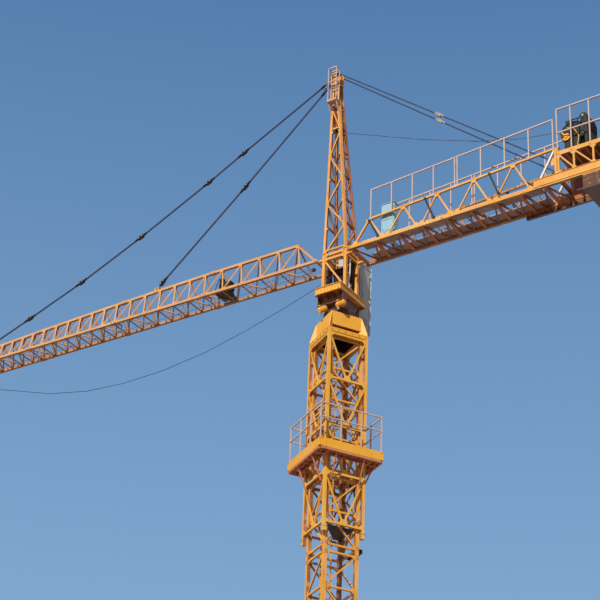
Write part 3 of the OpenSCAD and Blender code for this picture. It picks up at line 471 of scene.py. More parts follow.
# painted shade: red-brown between the near and far chords, and darker still below JIB_Z - 0.085
COUNTER = painted("counterjib_yellow", (0.84, 0.38, 0.055), (0.90, 0.56, 0.22), under_shade=0.8,
                  shade_zones=[((0.42, 0.16, 0.065), (0, 1, 0), 0.05 - COUNTER_HALF, COUNTER_HALF - 0.07),
                         ((0.12, 0.045, 0.025), (0, 0, 1), 10.0, JIB_Z - 0.085)])
# painted shade: dark red-brown on the winch platform from its far side to just short of its near side
RACK = painted("winch_floor_yellow", (0.84, 0.38, 0.055), (0.90, 0.56, 0.22), under_shade=0.8,
               shade_zones=[((0.30, 0.10, 0.05), (0, 1, 0), -0.02 - COUNTER_HALF, COUNTER_HALF - 0.07)])
# dark red-brown for the slewing ring, and painted shade on the devices at the jib's root
RING = painted("dark_red_ring_and_shade", (0.07, 0.028, 0.018), (0.13, 0.05, 0.03), soiling=0.6, rusting=0.7, gloss=0.7)
CLAMP = painted("clamp_beige", (0.42, 0.36, 0.29), (0.50, 0.43, 0.36), soiling=0.5, rusting=0.5)
# near-black for machinery, and painted shade on the rest platforms, the support's hollow and the tower's cabinets
DARK = mottled("dark_machinery_and_shade", (0.018, 0.010, 0.009), (0.046, 0.027, 0.022), 22.0, shine=0.2)
IRON = mottled("cast_iron", (0.035, 0.022, 0.018), (0.11, 0.065, 0.05), 45.0, 0.4)
STEEL = mottled("zinc_steel", (0.28, 0.28, 0.29), (0.50, 0.50, 0.50), 55.0, 0.85)
GALV = mottled("galvanised", (0.30, 0.31, 0.32), (0.52, 0.53, 0.54), 14.0, 0.7)
RUBBER = mottled("rubber_hose", (0.012, 0.012, 0.012), (0.035, 0.034, 0.033), 60.0)
CONCRETE = mottled("cast_concrete", (0.055, 0.055, 0.057), (0.15, 0.145, 0.14), 9.0, 0.0, 0.004)
ROPE = rope_steel()
GLASS = tinted_glass()

# The finish of each node by the start of its name, yellow where none is given
# the rest platforms get the near-black finish as painted shade
NODE_FINISH = {
    "mast_side": LATTICE, "climbing_side": FRAME, "head_side": HEAD, "jib_section": JIB,
    "counterjib_side": TRUSS, "rest_platforms": DARK, "jacking_gear": DARK, "platform_frame": BROWN,
    "platform_deck": DECK, "toe_boards": TOE, "platform_railing": RAIL, "mast_support": ORANGE,
    "slewing_ring": RING, "turntable": TURNTABLE, "head_sheave": IRON, "head_platform": RAIL, "cab_body": CAB,
    "cab_glass": GLASS, "cab_bracket": BROWN, "jib_stay": STAY, "trolley_winch": DARK, "trolley": JIB,
    "hoist_rope": ROPE, "counterjib_deck": DECK, "counterjib_railing": RAIL, "winch_platform": RACK,
    "counterjib_frame": COUNTER, "hoist_winch": GREEN, "electric_cabinet": BLUE, "counterweights": CONCRETE,
    "counterjib_ties": STAY,
}

for name, node in nodes.items():
    finish = next((NODE_FINISH[start] for start in NODE_FINISH if name.startswith(start)), YELLOW)
    for slot in node.material_slots:
        slot.material = finish


# Pieces that are made here

class Piece:
    """Bars, plates, discs and bolts that become one mesh with one finish, riding on the body of a node.

    Points go through place, then points and ways through turn. Pieces on the mast are made in the
    mast's own axes.
    """

    made = []

    def __init__(self, name, finish, slot, flat=False, place=lambda *point: Vector(point)):
        self.name = name
        self.finish = finish
        self.slot = slot
        self.flat = flat
        self.place = place
        self.turn = Matrix.Identity(3)
        self.work = bmesh.new()
        Piece.made.append(self)

    def at(self, point):
        return self.turn @ self.place(*point)

    def skin(self, rings):
        """Closes the first and the last ring, and joins each ring with the next."""
        rings = [[self.work.verts.new(corner) for corner in ring] for ring in rings]
        self.work.faces.new(rings[0][::-1])
        self.work.faces.new(rings[-1])
        for lower, upper in zip(rings, rings[1:]):
            for a, b, c, d in zip(lower, lower[1:] + lower[:1], upper[1:] + upper[:1], upper):
                self.work.faces.new([a, b, c, d])

    def box(self, low, high):
        (x0, y0, z0), (x1, y1, z1) = self.at(low), self.at(high)
        self.skin([[(x0, y0, z), (x1, y0, z), (x1, y1, z), (x0, y1, z)] for z in (z0, z1)])

    def bar(self, a, b, width, height=None):
        """A bar from a to b, with width across it level and height upright."""
        a, b = self.at(a), self.at(b)
        along = (b - a).normalized()
        level = Z.cross(along)
        level = level.normalized() if level.length > 1e-4 else X
        rise = along.cross(level) * (height or width) / 2
        level = level * width / 2
        self.skin([[end + level + rise, end - level + rise, end - level - rise, end + level - rise]
                   for end in (a, b)])

    def tube(self, points, radius, sides=8):
        """A round tube along a list of points, mitred where it bends."""
        points = [self.at(point) for point in points]
        side = (points[1] - points[0]).normalized().orthogonal().normalized()
        rings = []
        for i, point in enumerate(points):
            along = (points[min(i + 1, len(points) - 1)] - points[max(i - 1, 0)]).normalized()
            side = (side - along * side.dot(along)).normalized()
            rings.append(circle(point, side, along.cross(side), radius, sides))
        self.skin(rings)

    def lathe(self, centre, axis, profile, sides=24):
        """A turned shape: profile is a list of (distance along the axis, radius)."""
        centre = self.at(centre)
        axis = (self.turn @ Vector(axis)).normalized()
        side = axis.orthogonal().normalized()
        other = axis.cross(side)
        self.skin([circle(centre + axis * along, side, other, radius, sides) for along, radius in profile])

    def disc(self, centre, axis, radius, length, sides=24):
        self.lathe(centre, axis, [(-length / 2, radius), (length / 2, radius)], sides)

    def bolt(self, place, axis, size=0.036, height=0.024):
        """A hexagon head with its washer and the end of its thread."""
        top = 0.004 + height
        for low, high, radius, sides in ((0, 0.004, size * 0.62, 12), (0.004, top, size / 2, 6),
                                         (top, top + 0.012, size * 0.28, 8)):
            self.lathe(place, axis, [(low, radius), (high, radius)], sides)

    def plate(self, outline, thick, across):
        """A flat plate with the outline's corners, thick along the way across."""
        half = (self.turn @ Vector(across)).normalized() * thick / 2
        corners = [self.at(point) for point in outline]
        self.skin([[corner - half for corner in corners], [corner + half for corner in corners]])

    def build(self):
        if nodes[self.slot].parent == frame["bodies"][MAST]:
            body = MAST
            bmesh.ops.rotate(self.work, verts=self.work.verts, cent=(0, 0, 0),
                             matrix=Matrix.Rotation(MAST_TURN, 3, "Z"))
        else:
            body = TOP
        bmesh.ops.recalc_face_normals(self.work, faces=self.work.faces)
        mesh = bpy.data.meshes.new(self.name)
        self.work.to_mesh(mesh)
        self.work.free()
        mesh.materials.append(self.finish)
        piece = bpy.data.objects.new(self.name, mesh)
        bpy.context.scene.collection.objects.link(piece)
        if not self.flat:
            mesh.polygons.foreach_set("use_smooth", [True] * len(mesh.polygons))
            mesh.set_sharp_from_angle(angle=SMOOTH_ANGLE)
        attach(piece, body)
        return piece


def circle(centre, side, other, radius, sides):
    """Points round a centre, between two ways that are square to each other."""
    turns = [2 * math.pi * k / sides for k in range(sides)]
    return [centre + radius * (side * math.cos(t) + other * math.sin(t)) for t in turns]


def octagon(end, middle):
    """A long plate's corners with its own corners cut, from a corner of its end and of its middle."""
    (a, b), (c, d) = end, middle
    return [(-a, -b), (-c, -d), (c, -d), (a, -b), (a, b), (c, d), (-c, d), (-a, b)]


def pulley(radius, depth, rim):
    """The profile of a small rope pulley with a groove between its rims."""
    groove = radius - depth
    return [(0, radius), (rim, radius), (rim + 0.008, groove), (rim + 0.016, groove), (rim + 0.024, radius),
            (2 * rim + 0.024, radius)]


def turned(count, *pieces, first=0.0):
    """Turns the axes of the pieces by even steps round the mast, and back at the end."""
    for i in range(count):
        for piece in pieces:
            piece.turn = (Matrix.Rotation(2 * math.pi * i / count, 3, "Z")
                          @ Matrix.Rotation(2 * math.pi * first / count, 3, "Z"))
        yield i
    for piece in pieces:
        piece.turn = Matrix.Identity(3)


def mast_joints():
    """Splice plates with bolts on each leg where two mast sections meet, and gussets at the lacing."""
    plates = Piece("mast_splice_plates", LATTICE, "mast_side_1", flat=True)
    bolts = Piece("mast_splice_bolts", STEEL, "mast_side_1")
    gussets = Piece("mast_gussets", LATTICE, "mast_side_1", flat=True)
    face = MAST_HALF + MAST_LEG / 2
    for _ in turned(4, plates, bolts, gussets):
        for step in range(1, SECTIONS):
            z = BASE_H + step * SECTION_H
            # heads are lower where the climbing frame is close
            size, height = (0.018, 0.006) if z > FRAME_FOOT - 0.2 else (0.026, 0.016)
            for y in (-MAST_HALF, MAST_HALF):
                plates.box((-face - 0.006, y - 0.05, z - 0.26), (-face - 0.0005, y + 0.05, z + 0.26))
                for along in (-0.2, -0.12, 0.12, 0.2):
                    for out in (-0.028, 0.028):
                        bolts.bolt((-face - 0.005, y + out, z + along), -X, size, height)
        for step in range(SECTIONS):
            low = BASE_H + step * SECTION_H + 0.14
            high = low + SECTION_H - 0.28
            for z, up, down in ((low, 1, 0.2), ((low + high) / 2, 1, -1), (high, -0.2, -1)):
                for side in SIDES:
                    gussets.plate([(-MAST_HALF, side * (MAST_HALF - MAST_LEG / 2 - reach), z + rise)
                                   for reach, rise in ((0, 0.13 * up), (0.11, 0.06 * up), (0.15, 0),
                                                       (0.11, 0.06 * down), (0, 0.13 * down))], 0.084, X)


def ladder_parts():
    """Clips of the mast's ladder, and the bars of the rest floors."""
    clips = Piece("ladder_clips", GALV, "mast_ladder")
    bars = Piece("rest_floor_bars", GALV, "rest_platforms", flat=True)
    x = MAST_HALF - MAST_LEG / 2 - 0.06
    for section in range(SECTIONS):
        for up in (0.4, 1.43, 2.46):
            z = BASE_H + section * SECTION_H + up
            for y in (-0.2, 0.2):
                clips.box((x - 0.03, y - 0.03, z - 0.02), (x + 0.03, y + 0.03, z + 0.02))
                clips.bolt((x + 0.03, y, z), X, 0.022, 0.012)
    for section in (1, 3):
        z = BASE_H + section * SECTION_H + 0.92
        for i in range(22):
            x = -0.53 + i * 0.045
            # the floor's free edge runs at a slant
            reach = min(0.5, 0.72 - (x + 0.55) * 1.24)
            if reach > -0.5:
                bars.box((x - 0.003, -0.53, z), (x + 0.003, reach, z + 0.014))


def base_parts():
    """Anchor nuts, beam ribs, leg plates and strut pins of the base cross."""
    ribs = Piece("base_ribs", YELLOW, "base_cross", flat=True)
    nuts = Piece("anchor_nuts", STEEL, "base_cross")
    for _ in turned(4, ribs, nuts, first=0.5):
        for z, radius, length, sides in ((0.046, 0.07, 0.012, 24), (0.076, 0.045, 0.048, 6),
                                         (0.118, 0.041, 0.036, 6), (0.08, 0.024, 0.2, 16)):
            nuts.disc((2.1, 0, z), Z, radius, length, sides)
        for side in SIDES:
            for x in (0.42, 1.2, 1.55, 1.86):
                ribs.plate([(x, side * y, z) for y, z in ((0.02, 0.04), (0.142, 0.04), (0.142, 0.76),
                                                          (0.02, 0.76))], 0.014, X)
            ribs.plate([(x, side * 0.1, z) for x, z in ((1.935, 0.04), (2.24, 0.04), (2.24, 0.09),
                                                        (1.935, 0.4))], 0.016, Y)
            ribs.plate([(x, side * 0.068, BASE_H + z) for x, z in ((1.47, 0), (1.72, 0), (1.62, 0.2),
                                                                   (1.5, 0.2))], 0.016, Y)
        for x, y in CORNERS:
            nuts.bolt((0.884 + 0.13 * x, 0.13 * y, BASE_H), Z, 0.044, 0.028)
        nuts.disc((1.57, 0, BASE_H + 0.11), Y, 0.03, 0.19, 20)
        nuts.disc((1.66, 0, BASE_H + 0.004), Z, 0.03, 0.008, 12)


def climbing_frame_parts():
    """Gussets, guide rollers and foot bolts of the climbing frame, and its hydraulic set."""
    gussets = Piece("frame_gussets", FRAME, "climbing_side_1", flat=True)
    boxes = Piece("guide_roller_boxes", BROWN, "climbing_side_1", flat=True)
    rollers = Piece("guide_rollers", STEEL, "climbing_side_1")
    for _ in turned(4, gussets, boxes, rollers):
        for step in range(5):
            z = FRAME_FOOT + 0.4 + step * FRAME_PANEL - (0.06 if step == 4 else 0)
            up = 0.15 if step < 4 else 0.05
            down = -0.18 if step else -0.05
            for side in SIDES:
                gussets.plate([(-FRAME_HALF, side * (FRAME_HALF - FRAME_POST / 2 - reach), z + rise) for
                               reach, rise in ((0, up), (0.12, 0.04), (0.12, -0.04), (0, down))], 0.088, X)
            if step < 4:
                gussets.plate([(-FRAME_HALF, y, z + rise) for y, rise in ((-0.16, 0.03), (0.16, 0.03),
                                                                          (0.07, 0.2), (-0.07, 0.2))], 0.07, X)
        for side in SIDES:
            for up in (0.62, 2.9, 5.2, 7.4):
                y, z = side * (FRAME_HALF - 0.13), FRAME_FOOT + up
                boxes.box((-FRAME_HALF - 0.02, y - 0.045, z - 0.09), (-MAST_HALF - 0.095, y + 0.045, z + 0.09))
                rollers.disc((-MAST_HALF - 0.104, y - side * 0.062, z), Y, 0.032, 0.05, 16)
                for end in (-0.045, 0.045):
                    rollers.bolt((-FRAME_HALF - 0.02, y, z + end), -X, 0.03)
            for along in (-0.05, 0.05):
                rollers.bolt((-FRAME_HALF - FRAME_POST / 2 - 0.03, side * (FRAME_HALF - 0.015) + along,
                              FRAME_FOOT + 0.19), -X, 0.032)

    gear = Piece("jacking_parts", DARK, "jacking_gear")
    rod = Piece("jacking_rod", STEEL, "jacking_gear")
    hoses = Piece("jacking_hoses", RUBBER, "jacking_gear")
    y = -(FRAME_HALF + 0.15)
    z = FRAME_FOOT + 0.4 + FRAME_PANEL
    for down in (1.39, 0.9, 0.12):
        gear.disc((0, y, z - down), Z, 0.094, 0.05, 32)
    gear.lathe((0, y, z - 1.4), -Z, [(0, 0.08), (0.02, 0.075), (0.05, 0.06)], 32)
    rod.disc((0, y, z - 1.7), Z, 0.0462, 0.46, 32)
    for x in (-0.1, 0.1):
        gear.plate([(x, y + out, z - down) for out, down in ((-0.09, 0.12), (0.09, 0.12), (0.05, 0.3),
                                                             (-0.05, 0.3))], 0.024, X)
    rod.disc((0, y, z - 0.02), X, 0.035, 0.3, 20)
    z = PLATFORM_Z - TOE_H - 0.09
    gear.disc((0.28, -1.06, z - 0.54), Z, 0.07, 0.1)
    gear.box((0.12, -1.23, z - 0.36), (0.22, -1.2, z - 0.2))
    for x in (0.14, 0.2):
        rod.disc((x, -1.25, z - 0.28), Y, 0.016, 0.05, 12)
    rod.disc((0.38, -1.205, z - 0.16), Y, 0.04, 0.02, 20)
    for path in (((0.14, -1.27, 0.28), (0.12, -1.29, 0.42), (0.1, -1.18, 0.72), (0.1, -1.05, 0.86),
                  (0.09, y - 0.06, 0.82)),
                 ((0.2, -1.27, 0.28), (0.19, -1.3, 0.5), (0.15, -1.16, 1.2), (0.12, -1.06, 1.8),
                  (0.09, y - 0.05, 1.98))):
        hoses.tube([(x, out, z - down) for x, out, down in path], 0.014)


def platform_parts():
    """Joists, floor boards, rail feet and toe board straps of the work platform."""
    joists = Piece("platform_joists", BROWN, "platform_frame", flat=True)
    boards = Piece("floor_boards", BROWN, "platform_deck", flat=True)
    feet = Piece("rail_feet", RAIL, "platform_railing")
    straps = Piece("toe_board_straps", TOE, "toe_boards")
    z = PLATFORM_Z - TOE_H
    inner = FRAME_HALF + FRAME_POST / 2 + 0.02
    outer = PLATFORM_HALF - 0.05
    for _ in turned(4, joists, boards, feet, straps):
        for i in range(7):
            y = -outer + 0.14 + i * (outer + inner - 0.2) / 6
            joists.bar((-outer, y, z - 0.035), (-inner, y, z - 0.035), 0.05, 0.07)
        for x in (-outer + 0.13, -outer + 0.26, -inner - 0.13):
            joists.bar((x, -outer, z - 0.075), (x, outer, z - 0.075), 0.03, 0.022)
        for i in range(3):
            x = -inner - 0.06 - i * 0.125
            boards.box((x - 0.11, -outer + 0.02, z + 0.041), (x, outer - 0.45, z + 0.052 + 0.001 * i))
        for y in (-1.235, -0.412, 0.412):
            for up, radius, length, sides in ((0.043, 0.05, 0.008, 16), (0.103, 0.033, 0.12, 12),
                                              (TOE_H + 0.87, 0.036, 0.06, 12),
                                              (TOE_H + RAIL_H - 0.022, 0.036, 0.06, 12)):
                feet.disc((-1.235, y, z + up), Z, radius, length, sides)
        x = -PLATFORM_HALF - 0.006
        for low, high in ((0.012, 0.05), (TOE_H - 0.05, TOE_H - 0.012)):
            for y in (-PLATFORM_HALF + 0.02, PLATFORM_HALF - 0.14):
                straps.box((x, y, z + low), (x + 0.005, y + 0.12, z + high))
                for along in (0.03, 0.09):
                    straps.bolt((x, y + along, z + (low + high) / 2), -X, 0.02, 0.008)


def support_parts():
    """Painted shade as near-black sheets in the hollow, the flange bolts and the edge strips of the mast support.
    """
    hollow_shade = Piece("support_hollow_shade", DARK, "mast_support", flat=True)
    strips = Piece("support_strips", ORANGE, "mast_support", flat=True)
    bolts = Piece("support_bolts", STEEL, "mast_support")
    for _ in turned(4, hollow_shade, strips, bolts):
        # near-black sheets inside the hollow: painted shade
        hollow_shade.box((-0.525, -0.524, MAST_TOP + 0.004), (-0.521, 0.524, SUPPORT_TOP - 0.045))
        hollow_shade.box((-0.569, -0.56, MAST_TOP + 0.184), (-0.565, 0.56, MAST_TOP + 0.426))
        for up in (0.002, 0.158):
            strips.box((-0.829, -0.829, MAST_TOP + up), (-0.825, 0.829, MAST_TOP + up + 0.02))
        strips.box((-0.641, -0.6, MAST_TOP + 0.43), (-0.635, 0.6, MAST_TOP + 0.452))
        for i in range(6):
            bolts.bolt((-0.825, -0.7 + i * 0.28, MAST_TOP + 0.09), -X, 0.034)
    for _ in turned(40, bolts):
        bolts.bolt((0.585, 0, SUPPORT_TOP - 0.04), -Z, 0.03, 0.02)


def turntable_parts():
    """Ribs, flanges and bolts of the turntable, and its two slewing drives."""
    ribs = Piece("turntable_ribs", ORANGE, "turntable", flat=True)
    hollow = Piece("turntable_hollow", TURNTABLE, "turntable", flat=True)
    bolts = Piece("turntable_bolts", STEEL, "turntable")
    z = TURNTABLE_Z
    for x in (-0.33, 0.0, 0.3):
        ribs.box((x - 0.008, 0.8805, z + 0.615), (x + 0.008, 0.9, z + 0.885))
    for x0, y0, x1, y1 in ((-0.592, 0.8795, 0.542, 0.915), (-0.592, -0.915, 0.542, -0.8795),
                           (-0.62, -0.9, -0.589, 0.9), (0.539, -0.9, 0.57, 0.9)):
        for low in (0.6, 0.884):
            ribs.box((x0, y0, z + low), (x1, y1, z + low + 0.016))
    for x in (-0.5, -0.2, 0.12, 0.44):
        for up in (0.66, 0.84):
            bolts.bolt((x, 0.882, z + up), Y)
    for y in (-0.75, -0.45, -0.15, 0.15, 0.45, 0.75):
        for x, way in ((-0.592, -X), (0.542, X)):
            for up in (0.67, 0.83):
                bolts.bolt((x, y, z + up), way)
    for _ in turned(36, bolts, first=0.5):
        bolts.bolt((0.56, 0, z - 0.002), Z, 0.028, 0.018)
    for side in SIDES:
        for x in (-0.46, -0.16, 0.14, 0.41):
            hollow.plate([(x, side * y, z + up) for y, up in ((0.605, 0.58), (0.86, 0.598), (0.86, 0.57),
                                                              (0.56, 0.42))], 0.014, X)
        hollow.box((-0.58, side * 0.62, z + 0.588), (0.53, side * 0.872, z + 0.599))

    drives = Piece("slewing_drives", TOE, "slewing_motors")
    pinions = Piece("drive_pinions", STEEL, "slewing_motors")
    for x in (0.31, -0.5):
        motor = Vector((x, 0.67, UPPER_Z + 0.055))
        drives.lathe(motor - X * 0.2, X, [(0, 0.07), (0.02, 0.105), (0.28, 0.108), (0.3, 0.118), (0.34, 0.118),
                                          (0.345, 0.09), (0.4, 0.08)], 32)
        for fin in circle(motor - X * 0.16, Y, Z, 0.112, 18):
            drives.bar(fin, fin + X * 0.22, 0.007, 0.022)
        gearbox = motor + X * 0.12
        drives.lathe(gearbox - Z * 0.14, Z, [(0, 0.03), (0.02, 0.07), (0.09, 0.085), (0.26, 0.085), (0.27, 0.11),
                                             (0.295, 0.11)], 32)
        drives.box(motor + Vector((-0.13, -0.05, 0.1)), motor + Vector((-0.01, 0.05, 0.152)))
        for i in range(8):
            turn = math.pi / 4 * (i + 0.5)
            spot = gearbox + Vector((0.095 * math.cos(turn), 0.095 * math.sin(turn), 0.128))
            pinions.bolt(spot, -Z, 0.018, 0.012)
        pinions.lathe(gearbox - Z * 0.21, Z, [(0, 0.04), (0.01, 0.052), (0.06, 0.052), (0.07, 0.04)], 20)


def tower_parts():
    """Plates, ladder, cabinets and conduits of the slewing tower, with heights over the ground. Its dark cabinets
    and root devices are painted shade.
    """
    plates = Piece("tower_plates", YELLOW, "slewing_tower", flat=True)
    bolts = Piece("tower_bolts", STEEL, "slewing_tower")
    for x, y in CORNERS:
        foot = Vector((x * TOWER_X, y * TOWER_Y, TOWER_FOOT))
        plates.box(foot + Vector((-0.1, -0.1, 0)), foot + Vector((0.1, 0.1, 0.025)))
        for dx, dy in CORNERS:
            bolts.bolt(foot + Vector((0.078 * dx, 0.078 * dy, 0.025)), Z, 0.03)
        for z in (JIB_Z, TOWER_TOP - 0.06):
            plates.plate([(x * (TOWER_X - inset), y * (TOWER_Y + 0.054), z + up) for inset, up in
                          ((0.05, 0.09), (0.22, 0.035), (0.22, -0.035), (0.05, -0.13))], 0.012, Y)
        bolts.disc((x * 0.7, y * TOWER_Y, JIB_Z + (0.014 if x > 0 else 0)), Y, 0.028, 0.13, 20)

    ladder = Piece("tower_ladder", YELLOW, "slewing_tower")
    for x in (-0.12, 0.2):
        ladder.tube([(x, -0.33, TOWER_FOOT + 0.02), (x, -0.33, TOWER_TOP - 0.12), (x, -0.3, TOWER_TOP + 0.5)],
                    0.018)
    for i in range(8):
        z = TOWER_FOOT + 0.18 + i * 0.24
        ladder.tube([(-0.12, -0.33, z), (0.2, -0.33, z)], 0.012, 6)

    case = Piece("tower_case", CAB, "slewing_tower")
    case.box((-0.33, 0.24, 21.22), (-0.12, 0.34, 21.62))
    case.box((-0.32, 0.34, 21.23), (-0.13, 0.346, 21.61))
    case.box((-0.3, 0.2, 21.62), (-0.14, 0.3, 21.93))
    case.disc((-0.15, 0.35, 21.4), Y, 0.014, 0.02, 12)

    conduits = Piece("pale_conduits", PALE, "slewing_tower")
    conduits.tube([(-0.5, 0.16, 20.2), (-0.5, 0.16, 20.42), (-0.46, 0.14, 20.62), (-0.5, 0.12, 21.0),
                   (-0.5, 0.12, 21.6)], 0.036, 12)
    conduits.tube([(-0.44, 0.02, 20.17), (-0.44, 0.02, 20.5), (-0.42, -0.1, 20.54)], 0.034, 12)
    for z in (20.3, 20.95, 21.3):
        conduits.box((-0.51, 0.07, z), (-0.44, 0.21, z + 0.03))

    # near-black cabinets on the tower's far side, their dark painted shade, with a grille, collector column and
    # cables
    cabinets = Piece("tower_shade_cabinets", DARK, "slewing_tower")
    cabinets.box((0.02, -0.36, 20.75), (0.4, -0.16, 21.55))
    cabinets.box((-0.42, -0.36, 20.9), (-0.1, -0.18, 22.0))
    cabinets.box((0.06, -0.16, 20.8), (0.36, -0.145, 21.5))
    for i in range(5):
        z = 20.95 + i * 0.1
        cabinets.box((0.1, -0.145, z), (0.32, -0.135, z + 0.03))
    cabinets.lathe((0, 0, TOWER_FOOT - 0.02), Z, [(0, 0.16), (0.05, 0.16), (0.06, 0.11), (0.36, 0.11),
                                                  (0.38, 0.07), (0.52, 0.06)], 32)
    cabinets.tube([(-0.2, -0.17, 20.9), (-0.2, -0.1, 20.6), (-0.1, -0.02, 20.45), (0, 0, 20.55)], 0.022)
    cabinets.tube([(-0.28, -0.17, 20.9), (-0.3, -0.05, 20.55), (-0.16, 0.04, 20.36), (-0.05, 0.04, 20.45)],
                  0.018)

    # dark red-brown boxes, bars and pulleys at the jib's root: painted shade
    root = Piece("root_shade_devices", RING, "slewing_tower")
    root.box((0.6, -0.36, 21.12), (0.86, -0.14, 21.58))
    root.box((0.59, -0.37, 21.56), (0.87, -0.13, 21.6))
    root.box((0.62, -0.38, 21.18), (0.84, -0.36, 21.5))
    for y in (-0.3, -0.2):
        root.bar((0.73, y, 21.6), (0.73, y, 21.98), 0.05)
        root.bar((0.52, y, 21.4), (0.6, y, 21.4), 0.05)
    root.bar((0.55, -0.25, 21.95), (0.95, -0.25, 21.95), 0.06)
    for x, radius in ((0.9, 0.1), (0.6, 0.08)):
        root.disc((x, -0.25, 21.95), Y, radius, 0.06, 28)
    root.tube([(0.66, -0.25, 21.12), (0.64, -0.25, 20.9), (0.5, -0.2, 20.62), (0.3, -0.18, 20.5)], 0.02)


def gusset(piece, node, along, inward, size, thick):
    """A plate on a bar's node, which reaches inward to the lacing that meets there."""
    node, along, inward = Vector(node), Vector(along).normalized(), Vector(inward).normalized()
    tip = node + inward * size * 0.95
    piece.plate([node + along * size, tip + along * size * 0.3, tip - along * size * 0.3, node - along * size],
                thick, along.cross(inward))


def head_leg(x, y, t):
    """A point on one of the head's legs, t from its foot to its top."""
    foot = Vector((x * TOWER_X, y * TOWER_Y, TOWER_TOP))
    return foot.lerp(Vector((HEAD_X + x * 0.11, y * 0.11, CAP_Z)), t)


def head_parts():
    """Gussets, ladder, cap ribs, sheave cheeks and platform floor of the crane head."""
    plates = Piece("head_gussets", LATTICE, "head_side_near", flat=True)
    for x, y in CORNERS:
        along = head_leg(x, y, 1) - head_leg(x, y, 0)
        for step in range(8):
            node = head_leg(x, y, min(step / 7, 0.985) if step else 0.012)
            gusset(plates, node, along, (-x, 0, 0), 0.1, 0.07)
            gusset(plates, node, along, (0, -y, 0), 0.1, 0.072)
        foot = head_leg(x, y, 0)
        plates.box(foot + Vector((-0.085, -0.085, 0.001)), foot + Vector((0.085, 0.085, 0.018)))

    ladder = Piece("head_ladder", YELLOW, "head_side_back")
    for y in (-0.15, 0.15):
        rail = Vector((0.1, y, 0))
        ladder.tube([head_leg(-1, 0, 0.03) + rail, head_leg(-1, 0, 0.84) + rail], 0.02)
        for step in range(1, 6):
            spot = head_leg(-1, 0, step / 7 + 0.02) + Y * y
            ladder.bar(spot + X * 0.02, spot + X * 0.11, 0.03)
    for i in range(25):
        rung = head_leg(-1, 0, (0.3 + i * 0.28) / (CAP_Z - TOWER_TOP)) + X * 0.1
        ladder.tube([rung - Y * 0.15, rung + Y * 0.15], 0.012, 6)

    cap = Piece("cap_ribs", YELLOW, "head_cap", flat=True)
    nuts = Piece("cap_pins", STEEL, "head_cap")
    for side in SIDES:
        face = side * 0.1755
        for x in (-0.15, -0.05, 0.05, 0.15):
            cap.box((HEAD_X + x - 0.007, face, CAP_Z + 0.06),
                    (HEAD_X + x + 0.007, face + side * 0.028, HEAD_Z - 0.22))
        for z in (CAP_Z + 0.04, CAP_Z + 0.46):
            cap.box((HEAD_X - 0.18, face, z), (HEAD_X + 0.18, face + side * 0.03, z + 0.016))
        for x, out in ((HEAD_X + 0.12, 0.17), (HEAD_X - 0.12, 0.25)):
            nuts.disc((x, side * (out + 0.008), HEAD_Z - 0.12), Y, 0.048, 0.016)
            nuts.disc((x, side * (out + 0.02), HEAD_Z - 0.12), Y, 0.034, 0.012)
            cap.disc((x, side * 0.182, HEAD_Z - 0.12), Y, 0.075, 0.014, 28)
        for x in (-0.1008, 0.1008):
            for up in (0.14, 0.24, 0.34):
                nuts.bolt((HEAD_X + x, face, CAP_Z + up), Y * side, 0.03)

    cheeks = Piece("sheave_cheeks", IRON, "head_sheave")
    sheave = Vector((0.27, 0, 27.82))
    for side in SIDES:
        way = Y * side
        cheeks.lathe(sheave + way * 0.03, way, [(0, 0.155), (0.006, 0.155), (0.006, 0.06), (0.04, 0.055)], 32)
        cheeks.lathe(sheave + way * 0.087, way, [(0, 0.05), (0.012, 0.05), (0.012, 0.036), (0.03, 0.034)])
        spokes = [circle(sheave + way * 0.034, X, Z, radius, 6) for radius in (0.05, 0.135)]
        for inner, outer in zip(*spokes):
            cheeks.bar(inner, outer, 0.016)
        for up in (0.1, 0.22, 0.34):
            cheeks.bolt(sheave + Vector((0.05, side * 0.087, up)), way, 0.026)

    floor = Piece("head_platform_floor", JIB, "head_platform", flat=True)
    z = HEAD_Z - 1.7
    for i in range(14):
        y = 0.27 + i * 0.019
        floor.box((0.14, y - 0.002, z + 0.05), (0.55, y + 0.002, z + 0.062))
    for x0, x1, y0, y1 in ((0.13, 0.56, 0.53, 0.536), (0.124, 0.13, 0.25, 0.53), (0.56, 0.566, 0.25, 0.53)):
        floor.box((x0, y0, z - 0.012), (x1, y1, z + 0.09))


def window(seals, trims, low, high, out, bar):
    """A rubber seal, a trim and a glazing bar around a cab window, out is its outward way."""
    low = Vector(low)
    level = Y if abs(out.x) > 0.5 else X
    wide = (Vector(high) - low).dot(level)
    tall = high[2] - low.z
    for inset, width, lift, piece in ((0.0, 0.03, 0.006, trims), (0.03, 0.022, -0.004, seals)):
        p = low + (level + Z) * (inset - 0.03) + out * lift
        w = wide + 0.06 - 2 * inset
        h = tall + 0.06 - 2 * inset
        for start, size in ((p, level * w + Z * width), (p + Z * (h - width), level * w + Z * width),
                            (p, level * width + Z * h), (p + level * (w - width), level * width + Z * h)):
            piece.box(start, start + size - out * 0.012)
    p = low + Z * tall * bar - out * 0.012
    seals.box(p, p + level * wide + Z * 0.03 - out * 0.016)


